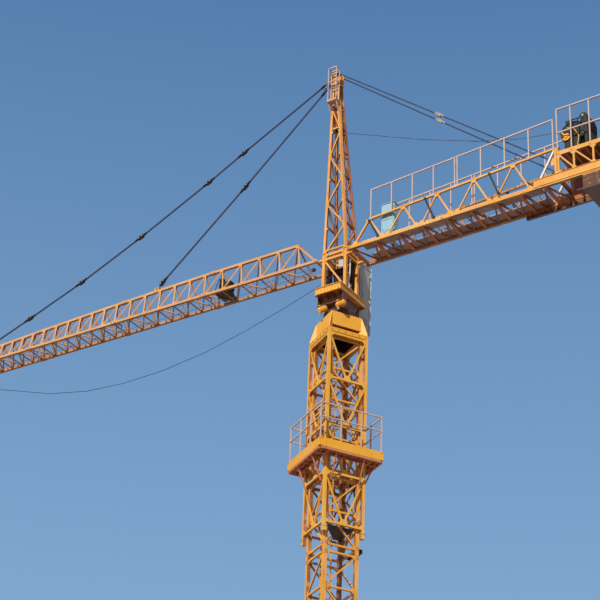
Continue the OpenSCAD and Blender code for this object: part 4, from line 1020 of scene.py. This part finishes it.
def cab_parts():
    """Windows, door, vents, edges, floor frame, wiper and seat of the cab, with heights over the ground."""
    x0, x1, y0, y1, z0, z1 = -0.34, 0.68, -1.6802, -0.8802, 19.15, 22.25
    seals = Piece("cab_seals", RUBBER, "cab_body", flat=True)
    trims = Piece("cab_trims", CAB, "cab_body")
    window(seals, trims, (-0.22, y1, 20.0), (0.56, y1, 21.78), Y, 0.42)
    window(seals, trims, (-0.22, y0, 20.0), (0.56, y0, 21.9), -Y, 0.42)
    window(seals, trims, (x1, y0 + 0.1, 20.0), (x1, y1 - 0.1, 21.9), X, 0.36)
    # the door's line
    for y in (y0 + 0.12, y1 - 0.12):
        seals.box((x0 - 0.004, y - 0.006, z0 + 0.12), (x0 + 0.001, y + 0.006, z1 - 0.28))
    for z in (z0 + 0.12, z1 - 0.28):
        seals.box((x0 - 0.004, y0 + 0.12, z - 0.006), (x0 + 0.001, y1 - 0.12, z + 0.006))
    # vents and hinges
    for i in range(7):
        z = z0 + 0.3 + i * 0.045
        trims.bar((x0 - 0.008, y0 + 0.22, z), (x0 - 0.008, y1 - 0.22, z), 0.016, 0.022)
    for z in (z0 + 0.35, 20.6, z1 - 0.5):
        trims.disc((x0 - 0.014, y0 + 0.11, z), Z, 0.014, 0.12, 12)
    # edges and bands
    for x in (x0, x1):
        for y in (y0, y1):
            trims.tube([(x, y, z0 + 0.004), (x, y, z1 - 0.004)], 0.009)
    for z in (z0 + 0.02, z1 - 0.03, z1 - 0.2):
        for left, right, front, back in ((x0 - 0.01, x1 + 0.01, y0 - 0.01, y0 + 0.002),
                                         (x0 - 0.01, x1 + 0.01, y1 - 0.002, y1 + 0.01),
                                         (x0 - 0.01, x0 + 0.002, y0, y1), (x1 - 0.002, x1 + 0.01, y0, y1)):
            trims.box((left, front, z - 0.014), (right, back, z + 0.014))
    # floor frame
    for y in (y0 + 0.06, y0 + 0.29, y0 + 0.52, y1 - 0.06):
        trims.box((x0 + 0.03, y - 0.02, z0 - 0.045), (x1 - 0.03, y + 0.02, z0 + 0.001))
    for x in (x0 + 0.05, x1 - 0.05):
        trims.box((x - 0.025, y0 + 0.02, z0 - 0.05), (x + 0.025, y1 - 0.02, z0 + 0.001))
    trims.bar((x0 + 0.05, y0 + 0.14, z0 - 0.085), (x0 + 0.05, y0 + 0.26, z0 - 0.085), 0.06, 0.08)
    # roof
    for x in (x0 + 0.2, x1 - 0.2):
        for y in (y0 + 0.2, y1 - 0.2):
            trims.disc((x, y, z1 + 0.012), Z, 0.035, 0.024, 20)
    trims.box((x0 + 0.14, y0 + 0.14, z1 - 0.001), (x1 - 0.14, y1 - 0.14, z1 + 0.012))

    metal = Piece("cab_metal", STEEL, "cab_body")
    for y, out, low, high, radius in ((y1 - 0.17, 0.05, 20.42, 20.78, 0.012),
                                      (y1 - 0.05, 0.06, 19.9, 21.32, 0.014)):
        metal.tube([(x0 - 0.002, y, low), (x0 - out, y, low + 0.02), (x0 - out, y, high - 0.02),
                    (x0 - 0.002, y, high)], radius)
    metal.box((x0 - 0.012, y1 - 0.2, 20.24), (x0 - 0.001, y1 - 0.14, 20.38))
    metal.disc((x1 + 0.016, -1.28, 19.96), X, 0.022, 0.03, 16)
    metal.bar((x1 + 0.022, -1.28, 19.96), (x1 - 0.012, -1.14, 20.62), 0.012)
    metal.bar((x1 - 0.014, -1.2, 20.32), (x1 - 0.014, -1.09, 20.9), 0.012, 0.016)

    seat = Piece("cab_seat", RUBBER, "cab_body")
    seat.lathe((0.08, -1.28, 19.19), Z, [(0, 0.2), (0.03, 0.2), (0.05, 0.06), (0.86, 0.06), (0.88, 0.16),
                                         (0.9, 0.16)])
    for wide, outline in ((0.46, ((-0.16, 20.1), (0.32, 20.1), (0.34, 20.16), (0.3, 20.22), (-0.12, 20.2))),
                          (0.42, ((-0.13, 20.18), (-0.04, 20.2), (-0.1, 20.86), (-0.15, 20.9), (-0.2, 20.86))),
                          (0.24, ((-0.13, 20.9), (-0.1, 20.92), (-0.11, 21.1), (-0.17, 21.1),
                                  (-0.18, 20.92)))):
        seat.plate([(x, -1.28, z) for x, z in outline], wide, Y)
    for y in (-1.56, -1.0):
        seat.box((0.0, y - 0.07, 19.9), (0.42, y + 0.07, 20.36))
        seat.tube([(0.3, y, 20.36), (0.31, y, 20.5)], 0.012)
        seat.lathe((0.31, y, 20.49), Z, [(0, 0.014), (0.02, 0.028), (0.06, 0.03), (0.08, 0.016)], 16)


def jib_height(x):
    """How high the upper chord lies over the lower ones, less and less towards the tip."""
    return JIB_DEPTH - JIB_TAPER * (max(0.0, x - JIB_APEX) / (JIB_TIP - JIB_APEX)) ** 2


def on_jib(x, y, z):
    """Where a point of the level jib lies, with z over the centres of its lower chords."""
    along = x - JIB_PIN[0]
    return Vector((JIB_PIN[0] + along * math.cos(JIB_RISE) - z * math.sin(JIB_RISE), y,
                   JIB_PIN[1] + along * math.sin(JIB_RISE) + z * math.cos(JIB_RISE)))


def jib_parts():
    """Gussets at the lacing, joints between the sections, tip, root pins, and the trolley's ropes."""
    ahead = on_jib(1, 0, 0) - on_jib(0, 0, 0)
    for section in range(5):
        name = "jib_section_%d" % (section + 1)
        gussets = Piece("jib_gussets_%d" % (section + 1), JIB, name, flat=True)
        x0 = JIB_START + section * JIB_SECTION
        length = JIB_SECTION * (0.6 if section == 4 else 1)
        count = 5 if section == 4 else 5 + section
        panel = length / count
        for side in SIDES:
            for i in range(count + 1):
                x = min(max(x0 + i * panel, x0 + 0.1), x0 + length - 0.1)
                node = on_jib(x, side * JIB_HALF, 0)
                gusset(gussets, node, ahead, on_jib(x, 0, jib_height(x)) - node, 0.15, 0.056)
                gusset(gussets, node, ahead, (0, -side, 0), 0.11, 0.03)
            for i in range(count):
                x = x0 + (i + 0.5) * panel
                node = on_jib(x, 0, jib_height(x))
                gusset(gussets, node, ahead, on_jib(x, side * JIB_HALF, 0) - node, 0.14, 0.056)

    joints = Piece("jib_joints", JIB, "jib_section_2", place=on_jib)
    pins = Piece("jib_pins", STEEL, "jib_section_2")
    for section in range(1, 5):
        x = JIB_START + section * JIB_SECTION
        for y, z in ((-JIB_HALF, 0), (JIB_HALF, 0), (0, jib_height(x))):
            for side in SIDES:
                joints.plate([(x + a, y + side * 0.061, z + b) for a, b in octagon((0.15, 0.04), (0.11, 0.06))],
                             0.014, Y)
            for a in (-0.075, 0.075):
                pin = on_jib(x + a, y, z)
                pins.disc(pin, Y, 0.024, 0.18, 16)
                pins.tube([pin + Vector((0, 0.08, 0.035)), pin + Vector((0, 0.08, -0.045))], 0.005, 6)

    tip = Piece("jib_tip", JIB, "jib_section_5", flat=True, place=on_jib)
    top = jib_height(JIB_TIP)
    for y in (-JIB_HALF, JIB_HALF):
        x = JIB_PIN[0] + 0.04
        for side in SIDES:
            joints.disc((x, y + side * 0.06, 0), Y, 0.072, 0.016, 28)
        pins.disc(on_jib(x, y, 0), Y, 0.032, 0.19, 20)
        x = JIB_TIP - 0.02
        tip.plate([(x, y, -0.062), (x + 0.032, y, -0.062), (x + 0.032, y, 0.2), (x, y, 0.2)], 0.13, Y)
        tip.bar((x - 0.01, y, 0.1), (x - 0.01, y * 0.15, top - 0.05), 0.05)
        for x in (JIB_TIP - 0.16, TROLLEY - 1.0):
            tip.box((x, y - 0.03, -0.14), (x + 0.06, y + 0.03, -0.05))
    x = JIB_TIP - 0.03
    tip.plate([(x, -JIB_HALF, 0.03), (x, JIB_HALF, 0.03), (x, JIB_HALF, 0.15), (x, -JIB_HALF, 0.15)], 0.02, ahead)
    for y in (-0.12, 0.12):
        tip.box((JIB_TIP - 0.32, y - 0.008, -0.02), (JIB_TIP - 0.02, y + 0.008, 0.2))
        pins.lathe(on_jib(JIB_TIP - 0.2, y * 0.5 - 0.016, 0.09), Y, pulley(0.1, 0.014, 0.004), 28)
    pins.disc(on_jib(JIB_TIP - 0.2, 0, 0.09), Y, 0.018, 0.28, 16)

    ropes = Piece("trolley_ropes", ROPE, "trolley_winch", place=on_jib)
    rollers = Piece("rope_rollers", IRON, "trolley_winch", place=on_jib)
    drum = JIB_WINCH - 0.06
    for path in (((drum, 0.06, 0.582), (drum + 0.9, 0.06, 0.2), (JIB_TIP - 0.2, 0.06, 0.19)),
                 ((JIB_TIP - 0.2, 0.06, -0.01), (TROLLEY + 0.5, 0.06, -0.16)),
                 ((drum, -0.06, 0.582), (drum - 0.9, -0.06, 0.16), (1.3, -0.06, 0.12)),
                 ((1.3, -0.06, -0.02), (2.6, -0.06, -0.1), (TROLLEY - 0.5, -0.06, -0.15))):
        ropes.tube(path, 0.008, 6)
    rollers.lathe((1.3, -0.076, 0.05), Y, pulley(0.082, 0.014, 0.004), 28)
    for y in (-0.095, -0.035):
        rollers.box((1.22, y, -0.01), (1.38, y + 0.01, 0.11))
    for section in range(1, 5):
        x = JIB_START + section * JIB_SECTION + 0.04
        rollers.disc((x, 0.03, 0.165), Y, 0.025, 0.2, 16)
        for y in (-0.08, 0.14):
            rollers.box((x - 0.02, y - 0.005, 0.0), (x + 0.02, y + 0.005, 0.19))


def finned_motor(piece, centre, axis, radius, length, fins):
    """A motor with cooling fins, a fan cowl and a flange, along its axis."""
    start = centre - axis * length / 2
    piece.lathe(start, axis, [(length * along, radius * wide) for along, wide in
                              ((0, 0.7), (0.01 / length, 1.02), (0.2, 1.04), (0.21, 0.9), (0.86, 0.9), (0.87, 1.16),
                               (0.93, 1.16), (0.94, 0.7), (1, 0.6))], 28)
    side = axis.orthogonal().normalized()
    for fin in circle(start, side, axis.cross(side), radius * 0.97, fins):
        piece.bar(fin + axis * length * 0.22, fin + axis * length * 0.85, radius * 0.07, radius * 0.2)


def jib_machinery():
    """The jib winch's drum, motor and brake, the trolley's wheels and sheaves, and the hook's bolts."""
    x = JIB_WINCH
    winch = Piece("jib_winch_parts", DARK, "trolley_winch")
    bolts = Piece("jib_winch_bolts", STEEL, "trolley_winch", place=on_jib)
    for i in range(17):
        winch.lathe(on_jib(x - 0.06, -0.152 + i * 0.018, 0.365), Y,
                    [(0, 0.216), (0.004, 0.223), (0.012, 0.223), (0.016, 0.216)], 32)
    for side in SIDES:
        winch.disc(on_jib(x - 0.06, side * 0.166, 0.365), Y, 0.245, 0.012, 36)
        for i in range(8):
            turn = math.pi / 4 * i
            bolts.bolt((x - 0.06 + 0.16 * math.cos(turn), side * 0.201, 0.365 + 0.16 * math.sin(turn)), Y * side,
                       0.024)
        for a in (-0.27, 0.0, 0.26):
            bolts.bolt((x + a, side * 0.33, 0.086), Z, 0.034)
    finned_motor(winch, on_jib(x + 0.19, 0.04, 0.36), Z, 0.1, 0.52, 22)
    winch.box(on_jib(x + 0.1, 0.06, 0.62), on_jib(x + 0.28, 0.09, 0.87))
    winch.box(on_jib(x - 0.29, -0.12, 0.2), on_jib(x - 0.279, 0.12, 0.56))
    for i in range(5):
        z = 0.26 + i * 0.06
        winch.box(on_jib(x - 0.3, -0.1, z), on_jib(x - 0.29, 0.1, z + 0.02))
    winch.lathe(on_jib(x - 0.06, 0.2, 0.365), Y, [(0, 0.14), (0.03, 0.15), (0.09, 0.13), (0.1, 0.06),
                                                  (0.13, 0.05)], 28)
    winch.lathe(on_jib(x - 0.06, -0.2, 0.365), -Y, [(0, 0.11), (0.05, 0.1), (0.06, 0.05)], 28)
    winch.tube([on_jib(x + 0.19, 0.04, 0.84), on_jib(x + 0.19, 0.2, 0.8), on_jib(x + 0.16, 0.4, 0.4),
                on_jib(x + 0.16, 0.5, 0.062)], 0.014)

    x = TROLLEY
    wheels = Piece("trolley_wheels", IRON, "trolley")
    plates = Piece("trolley_plates", JIB, "trolley", flat=True, place=on_jib)
    for side in SIDES:
        y = side * (JIB_HALF + 0.079)
        for a in (-0.38, 0.38):
            wheel = on_jib(x + a, side * (JIB_HALF + CHORD / 2 + 0.03), -0.075)
            wheels.lathe(wheel, Y * side, [(0, 0.085), (0.004, 0.085), (0.01, 0.06), (0.012, 0.034),
                                           (0.03, 0.032)], 28)
            for spot in circle(wheel + Y * side * 0.008, X, Z, 0.045, 5):
                wheels.bolt(spot, Y * side, 0.014, 0.008)
            plates.plate([(x + a + along, y, z) for along, z in ((-0.09, -0.21), (0.09, -0.21), (0.04, -0.06),
                                                                 (-0.04, -0.06))], 0.012, Y)
        for a in (-0.47, -0.2, 0.2, 0.47):
            wheels.bolt(on_jib(x + a, side * (JIB_HALF + 0.078), -0.163), Y * side, 0.03)
    for a in (-0.2427, 0.2427):
        for y in (-0.035, 0.035):
            plates.plate([(x + a + along, y, z) for along, z in ((-0.13, -0.21), (0.13, -0.21), (0.09, -0.05),
                                                                 (-0.09, -0.05))], 0.014, Y)
        wheels.lathe(on_jib(x + a * 0.62, -0.018, -0.15), Y, pulley(0.1, 0.015, 0.006), 32)
        wheels.disc(on_jib(x + a * 0.62, 0, -0.15), Y, 0.02, 0.1, 16)

    hook = Piece("hook_bolts", STEEL, "hook_block")
    x = on_jib(TROLLEY, 0, -0.213).x
    z = JIB_Z - 1.7
    for side in SIDES:
        face = side * 0.0752
        hook.disc((x, face + side * 0.008, z - 0.3), Y, 0.07, 0.016, 28)
        hook.disc((x, face + side * 0.022, z - 0.3), Y, 0.04, 0.014, 6)
        for a in (-0.11, 0.11):
            for down in (0.15, 0.57):
                hook.bolt((x + a, face, z - down), Y * side, 0.03)
    hook.lathe((x, 0, z - 0.62), -Z, [(0, 0.09), (0.03, 0.09), (0.04, 0.068), (0.1, 0.066)], 28)
    hook.bar((x + 0.075, 0, z - 0.88), (x - 0.06, 0, z - 1.02), 0.022, 0.03)


def stay_line(top, foot_x, shift, shape):
    """Joints of a stay from the head down to the jib: each hangs under the straight line by its drop."""
    foot = on_jib(foot_x, 0, jib_height(foot_x) + 0.119) + Vector(shift)
    return [Vector(top).lerp(foot, share) - Z * drop for share, drop in shape]


def stay_parts():
    """Dark link plates with pins along the jib's stays, and clamps on the counterjib's ties."""
    links = Piece("stay_links", DARK, "jib_stay_outer")
    pins = Piece("stay_pins", STEEL, "jib_stay_outer")
    outer = stay_line((0.93, 0, HEAD_Z - 0.29), OUTER_STAY, (-0.06, 0, 0.015),
                      ((0, 0), (0.2324, 0.234), (0.3315, 0.363), (0.5275, 0.486), (0.7035, 0.444), (0.8602, 0.23),
                       (1, 0)))
    inner = stay_line((0.96, 0, HEAD_Z - 0.625), INNER_STAY, (-0.045, 0, 0.04),
                      ((0, 0), (0.481, 0.056), (0.9757, -0.039), (1, 0)))
    for points in (outer, inner):
        for i in range(1, len(points) - 1):
            centre = points[i]
            along = (points[i + 1] - centre).normalized()
            up = (-Y).cross(along)
            for side in SIDES:
                links.plate([centre + along * a + up * b + Y * side * 0.054 for a, b in
                             octagon((0.15, 0.03), (0.11, 0.062))], 0.012, Y)
                links.plate([centre + along * a + Y * b + up * side * 0.0555 for a, b in
                             ((-0.1, -0.05), (0.1, -0.05), (0.1, 0.05), (-0.1, 0.05))], 0.007, up)
            for a in (-0.085, 0.085):
                pins.disc(centre + along * a, Y, 0.03, 0.15, 20)
        for a, b in zip(points, points[1:]):
            if (b - a).length > 1:
                along = (b - a).normalized()
                for end, way in ((a, along), (b, -along)):
                    links.lathe(end + way * 0.09, way, [(0, 0.052), (0.16, 0.05), (0.24, 0.037)], 16)
    for x in (INNER_STAY, OUTER_STAY):
        lug = on_jib(x, 0, jib_height(x) + 0.119)
        for side in SIDES:
            pins.disc(lug + Y * side * 0.073, Y, 0.034, 0.01, 20)
            links.disc(lug + Y * side * 0.066, Y, 0.045, 0.006)
    for x, down in ((0.93, 0.29), (0.945, 0.5)):
        pins.disc((x, 0, HEAD_Z - down), Y, 0.034, 0.14, 20)

    clamps = Piece("tie_clamps", CLAMP, "counterjib_ties")
    for side, share in ((1, 0.5), (-1, 0.46)):
        a = Vector((0.28, side * 0.21, HEAD_Z - 0.12))
        b = Vector((TRUSS_END + 0.12, side * 0.5638, JIB_Z + 0.99))
        along = (b - a).normalized()
        up = (-Y).cross(along).normalized()
        out = along.cross(up)
        centre = a.lerp(b, share)
        for s in SIDES:
            clamps.plate([centre + along * p + up * q + out * s * 0.04 for p, q in
                          octagon((0.15, 0.03), (0.12, 0.06))], 0.014, out)
            clamps.lathe(centre + along * s * 0.1, along * s, [(0, 0.044), (0.1, 0.044), (0.16, 0.03)], 16)
            clamps.disc(centre + along * s * 0.12, out, 0.028, 0.13, 16)
        clamps.lathe(b - along * 0.32, along, [(0, 0.028), (0.04, 0.042), (0.2, 0.042), (0.24, 0.03)], 16)


def truss_z(x):
    """The height of the side trusses' sloped upper bar."""
    return TRUSS_TOP + (TRUSS_START - x) * TRUSS_SLOPE


def counterjib_parts():
    """Gussets, pins, walkway, struts, rail clamps, cabinet doors and slab fittings of the counterjib."""
    gussets = Piece("counterjib_gussets", TRUSS, "counterjib_side_near", flat=True)
    pins = Piece("counterjib_pins", STEEL, "counterjib_side_near")
    low = JIB_Z + 0.067
    for side in SIDES:
        y = side * COUNTER_HALF
        for x in TRUSS_NODES:
            gusset(gussets, (x, y, truss_z(x)), (1, 0, -TRUSS_SLOPE), -Z, 0.17, 0.086)
            for a in (-0.08, 0.0, 0.08):
                pins.bolt((x + a, y + side * 0.044, truss_z(x) - 0.02), Y * side, 0.026)
        for a, b in zip(TRUSS_NODES, TRUSS_NODES[1:]):
            for share in (0.38, 0.55):
                gusset(gussets, (a + share * (b - a), y, low), X, Z, 0.14, 0.07)
        gusset(gussets, (-1.09, y, low), X, Z, 0.16, 0.08)
        for x in (-0.79, -4.9, -8.85):
            for out in (-0.07, 0.07):
                gussets.disc((x, y + out, JIB_Z), Y, 0.074, 0.012, 28)
            pins.disc((x, y, JIB_Z), Y, 0.034, 0.2, 20)
        face = y + side * 0.0655
        for x in (-12.9, -12.0, -9.9, -9.0):
            gussets.box((x - 0.006, face, JIB_Z + 0.02), (x + 0.006, y + side * 0.085, JIB_Z + 0.31))
        for z in (JIB_Z + 0.004, JIB_Z + 0.314):
            gussets.box((-COUNTER_L, face, z), (TRUSS_END + 0.9, y + side * 0.088, z + 0.014))

    grating = Piece("walkway_grating", DECK, "counterjib_deck", flat=True)
    edges = Piece("walkway_edges", RAIL, "counterjib_deck", flat=True)
    z = JIB_Z + 0.076
    for side in SIDES:
        for i in range(15):
            y = side * (0.19 + i * 0.028)
            grating.box((-8.89, y - 0.003, z), (-1.32, y + 0.003, z + 0.012))
        for i in range(48):
            x = -8.85 + i * 0.16
            grating.box((x - 0.004, side * 0.17, z), (x + 0.004, side * 0.59, z + 0.013))
        edges.box((-8.9, side * 0.592, JIB_Z + 0.067), (-1.3, side * 0.6, JIB_Z + 0.2))

    struts = Piece("dark_struts", RUBBER, "counterjib_side_near")
    brace = Piece("pale_brace", PALE, "counterjib_side_near", flat=True)
    brace_foot = TRUSS_NODES[4] - 0.55 * (TRUSS_NODES[4] - TRUSS_NODES[5])
    for side in SIDES:
        y = side * 0.712
        for top, foot in (((-4.17, y, 22.8), (-4.53, y, 21.86)), ((-1.72, y, 22.62), (-2.11, y, 21.8)),
                          ((-6.91, y, 22.96), (-7.26, y, 22.0))):
            struts.bar(top, foot, 0.05, 0.07)
            for end in (top, foot):
                struts.disc(end, Y, 0.06, 0.07, 20)
        y = side * COUNTER_HALF
        brace.bar((brace_foot, y, JIB_Z + 0.11), (TRUSS_END + 0.05, y, truss_z(TRUSS_END) - 0.06), 0.066)

    dark = Piece("counterjib_dark_parts", BROWN, "counterjib_frame", flat=True)
    for i in range(9):
        x = -0.88 - i * (COUNTER_L - 3.83) / 9
        dark.box((x - 0.06, -0.6, JIB_Z - 0.052), (x + 0.06, 0.6, JIB_Z - 0.046))
    for i in range(7):
        x = -11.1 + i * 0.52
        dark.box((x, -0.75, JIB_Z - 0.256), (x + 0.04, -0.64, JIB_Z - 0.04))
    for k in range(4):
        y = -0.72 + k * 0.022
        dark.tube([(-11.2, y, JIB_Z - 0.03), (-7.7, y, JIB_Z - 0.03), (-4.0, y + 0.05, JIB_Z + 0.02 - 0.006 * k),
                   (-1.2, y + 0.1, JIB_Z - 0.02)], 0.01, 6)

    ribs = Piece("rack_ribs", COUNTER, "counterjib_frame", flat=True)
    for y in (-0.728, 0.728):
        for i in range(4):
            x = 1.8 - COUNTER_L + i * 0.2
            ribs.box((x - 0.008, y - 0.014, JIB_Z - 0.7), (x + 0.008, y + 0.014, JIB_Z - 0.03))
        for z in (JIB_Z - 0.715, JIB_Z - 0.05):
            ribs.box((-11.33, y - 0.016, z), (-10.65, y + 0.016, z + 0.014))
    for x in (-11.334, -10.646):
        for y in (-0.6, -0.2, 0.2, 0.6):
            ribs.box((x - 0.012, y - 0.008, JIB_Z - 0.7), (x + 0.012, y + 0.008, JIB_Z - 0.03))

    clamps = Piece("rail_clamps", RAIL, "counterjib_railing")
    gap = -5.4298
    for side in SIDES:
        y = side * COUNTER_HALF
        for start, end in ((TRUSS_START - 0.05, gap + 0.055), (gap - 0.055, TRUSS_END + 0.08)):
            for i in range(5):
                x = start + (end - start) * i / 4
                z = truss_z(x)
                clamps.box((x - 0.04, y - side * 0.032, z - 0.05), (x + 0.04, y + side * 0.046, z + 0.06))
                clamps.disc((x, y, z + 1.33), X, 0.033, 0.06, 12)
        for x in (TRUSS_END - 0.09, 2.84 - COUNTER_L, 2.1 - COUNTER_L, 1.36 - COUNTER_L):
            clamps.box((x - 0.05, y - 0.05, DECK_Z + 0.0005), (x + 0.05, y + 0.05, DECK_Z + 0.012))
            for up in (0.96, 2.01):
                clamps.disc((x, y, DECK_Z + up), X, 0.034, 0.07, 12)

    doors = Piece("cabinet_doors", BLUE, "electric_cabinet", flat=True)
    handles = Piece("cabinet_handles", STEEL, "electric_cabinet")
    cables = Piece("cabinet_cables", RUBBER, "electric_cabinet")
    x0, x1, y0, y1, z0, z1 = -2.71, -2.16, 0.23, 0.56, JIB_Z + 0.0752, JIB_Z + 1.58
    for z in (z0 + 0.06, z0 + 0.78):
        doors.box((x0 + 0.02, y1, z), (x1 - 0.02, y1 + 0.014, z + 0.68))
        for i in range(6):
            slat = z + 0.1 + i * 0.03
            doors.bar((x0 + 0.1, y1 + 0.016, slat), (x1 - 0.1, y1 + 0.016, slat), 0.01, 0.014)
        for up in (0.1, 0.56):
            doors.disc((x0 + 0.02, y1 + 0.016, z + up), Z, 0.012, 0.07, 12)
        lock = z + 0.34
        handles.disc((x1 - 0.08, y1 + 0.02, lock), Y, 0.02, 0.014, 16)
        handles.bar((x1 - 0.08, y1 + 0.032, lock + 0.01), (x1 - 0.08, y1 + 0.032, lock - 0.09), 0.018)
    doors.box((x0 - 0.012, y0 + 0.02, z0 + 0.06), (x0, y1 - 0.02, z1 - 0.06))
    doors.box((x0 - 0.02, y0 - 0.02, z1), (x1 + 0.02, y1 + 0.03, z1 + 0.02))
    for i in range(4):
        y = y0 + 0.07 + i * 0.06
        cables.tube([(x0 + 0.12, y, z0 + 0.03), (x0 - 0.04, y, z0 + 0.03), (x0 - 0.25, y + 0.01, z0 + 0.012),
                     (x0 - 1.4, y, z0 + 0.02)], 0.014)

    slabs = Piece("slab_fittings", STEEL, "counterweights")
    for side in SIDES:
        for i in range(4):
            x, y = 0.335 - COUNTER_L + i * 0.4, side * 0.45
            slabs.tube([(x - 0.06, y, 22.16), (x - 0.06, y, 22.25), (x + 0.06, y, 22.25), (x + 0.06, y, 22.16)],
                       0.014)
            slabs.box((x - 0.15, side * 0.712, 22.03), (x + 0.15, side * 0.716, 22.14))
        for z in (19.7, 21.2):
            for x, radius, length, sides in ((-12.965, 0.045, 0.014, 24), (-12.98, 0.028, 0.02, 6),
                                             (-11.36, 0.045, 0.014, 24), (-11.345, 0.028, 0.02, 6)):
                slabs.disc((x, side * 0.4, z), X, radius, length, sides)


def winch_parts():
    """Rope turns, guards, gearbox, motor and brakes of the hoist winch, and its floor's edges."""
    x, z = 2.93 - COUNTER_L, DECK_Z + 1.0
    ropes = Piece("drum_turns", ROPE, "hoist_winch")
    green = Piece("winch_details", GREEN, "hoist_winch")
    bolts = Piece("winch_bolts", STEEL, "hoist_winch")
    brakes = Piece("winch_brakes", ORANGE, "hoist_winch")
    for i in range(21):
        ropes.lathe((x, -0.267 + i * 0.0255, z), Y, [(0, 0.379), (0.006, 0.391), (0.018, 0.391), (0.024, 0.379)],
                    40)
    for side in SIDES:
        # guards over the drum, in two arcs
        for low, high in ((12, 78), (84, 150)):
            arc = [math.radians(low + (high - low) * k / 6) for k in range(7)]
            for a, b in zip(arc, arc[1:]):
                green.plate([(x + r * math.cos(t), side * 0.2, z + r * math.sin(t)) for t, r in
                             ((a, 0.5), (b, 0.5), (b, 0.512), (a, 0.512))], 0.3, Y)
        for i in range(10):
            a = 2 * math.pi * i / 10
            green.bar((x + 0.12 * math.cos(a), side * 0.334, z + 0.12 * math.sin(a)),
                      (x + 0.45 * math.cos(a), side * 0.334, z + 0.45 * math.sin(a)), 0.02)
            a += 0.3
            bolts.bolt((x + 0.42 * math.cos(a), side * 0.33, z + 0.42 * math.sin(a)), Y * side, 0.03)
        green.lathe((x, side * 0.43, z), Y * side, [(0, 0.13), (0.03, 0.13), (0.04, 0.09), (0.07, 0.08)], 28)
        for a in (-0.26, 0.0, 0.26):
            green.plate([(x + a, side * y, z + up) for y, up in ((0.432, -0.86), (0.47, -0.86), (0.436, 0.2),
                                                                 (0.432, 0.2))], 0.014, X)
        for a in (-0.56, -0.36, 0.34):
            bolts.bolt((x + a, side * 0.455, z - 0.868), Z, 0.04)
        green.plate([(x - along, side * 0.39, z + up) for along, up in ((0.52, 0.3), (0.4, 0.3), (0.38, 0.66),
                                                                        (0.54, 0.66))], 0.02, Y)
        green.bar((x - 0.3, side * 0.4, z + 0.24), (x - 0.46, side * 0.4, z + 0.5), 0.05)
        bolts.disc((x - 0.46, side * 0.4, z + 0.6), Y, 0.04, 0.05, 20)
        green.box((x + 0.05, side * 0.1, z + 0.47), (x + 0.2, side * 0.36, z + 0.6))
        for a in (-0.36, -0.2, 0.1, 0.26):
            green.bar((x + a, side * 0.3, z + 0.44), (x + a, side * 0.3, z + 0.62), 0.03)
        green.bar((x - 0.4, side * 0.3, z + 0.62), (x + 0.3, side * 0.3, z + 0.62), 0.035)
        brakes.lathe((x + 0.2, side * 0.44, z - 0.2), Y * side, [(0, 0.14), (0.02, 0.15), (0.05, 0.15),
                                                                 (0.06, 0.07), (0.09, 0.06)], 28)
        brakes.bar((x + 0.2, side * 0.5, z - 0.2), (x + 0.42, side * 0.5, z + 0.12), 0.03, 0.05)
        brakes.tube([(x - 0.2, side * 0.44, z - 0.8), (x - 0.3, side * 0.46, z - 0.3),
                     (x - 0.1, side * 0.46, z + 0.1), (x + 0.16, side * 0.45, z + 0.22)], 0.018)
    finned_motor(green, Vector((x + 0.18, 0.0, z - 0.6)), Y, 0.16, 0.6, 26)
    green.box((x + 0.08, -0.12, z - 0.87), (x + 0.3, 0.12, z - 0.74))
    green.box((x - 0.66, -0.36, z + 0.1), (x - 0.625, 0.36, z + 0.46))
    for i in range(8):
        slat = z + 0.13 + i * 0.04
        green.box((x - 0.672, -0.3, slat), (x - 0.66, 0.3, slat + 0.015))
    green.bar((x - 0.22, -0.42, z + 0.34), (x - 0.22, 0.42, z + 0.34), 0.06)

    floor = Piece("winch_floor", BROWN, "winch_platform", flat=True)
    edges = Piece("winch_floor_edges", YELLOW, "winch_platform", flat=True)
    x0, x1 = 1.2 - COUNTER_L, TRUSS_END - 0.0602
    for i in range(24):
        y = -0.62 + i * 0.054
        floor.box((x0 + 0.02, y - 0.004, DECK_Z - 0.0095), (x1 - 0.02, y + 0.004, DECK_Z + 0.004))
    for i in range(9):
        x = x0 + 0.1 + i * (x1 - x0 - 0.2) / 8
        floor.box((x - 0.03, -0.64, DECK_Z - 0.09), (x + 0.03, 0.64, DECK_Z - 0.0502))
    for side in SIDES:
        y = side * COUNTER_HALF
        edges.box((x0, y + side * 0.031, DECK_Z - 0.06), (x1, y + side * 0.037, DECK_Z + 0.11))
        for x in (x0 + 0.8, x0 + 1.57, x1 - 0.05):
            gusset(edges, (x, y, DECK_Z - 0.07), X, -Z, 0.14, 0.068)
            gusset(edges, (x, y, JIB_Z + 0.335), X, Z, 0.13, 0.068)


add_camera()
add_world()
bpy.context.scene.view_settings.view_transform = "Standard"
add_sun("warm_sun", (-0.15, 0.79, 0.60), 3.7, (1.0, 0.95, 0.86), 1.5)
add_sun("far_fill", (0.45, -0.85, 0.30), 1.1, (0.95, 0.97, 1.0), 20.0)
add_floor()

mast_joints()
ladder_parts()
base_parts()
climbing_frame_parts()
platform_parts()
support_parts()
turntable_parts()
tower_parts()
head_parts()
cab_parts()
jib_parts()
jib_machinery()
stay_parts()
counterjib_parts()
winch_parts()

pieces = {piece.name: piece.build() for piece in Piece.made}
motors = pieces["slewing_drives"]
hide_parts("slewing_motors")
pieces["drive_pinions"].parent = motors
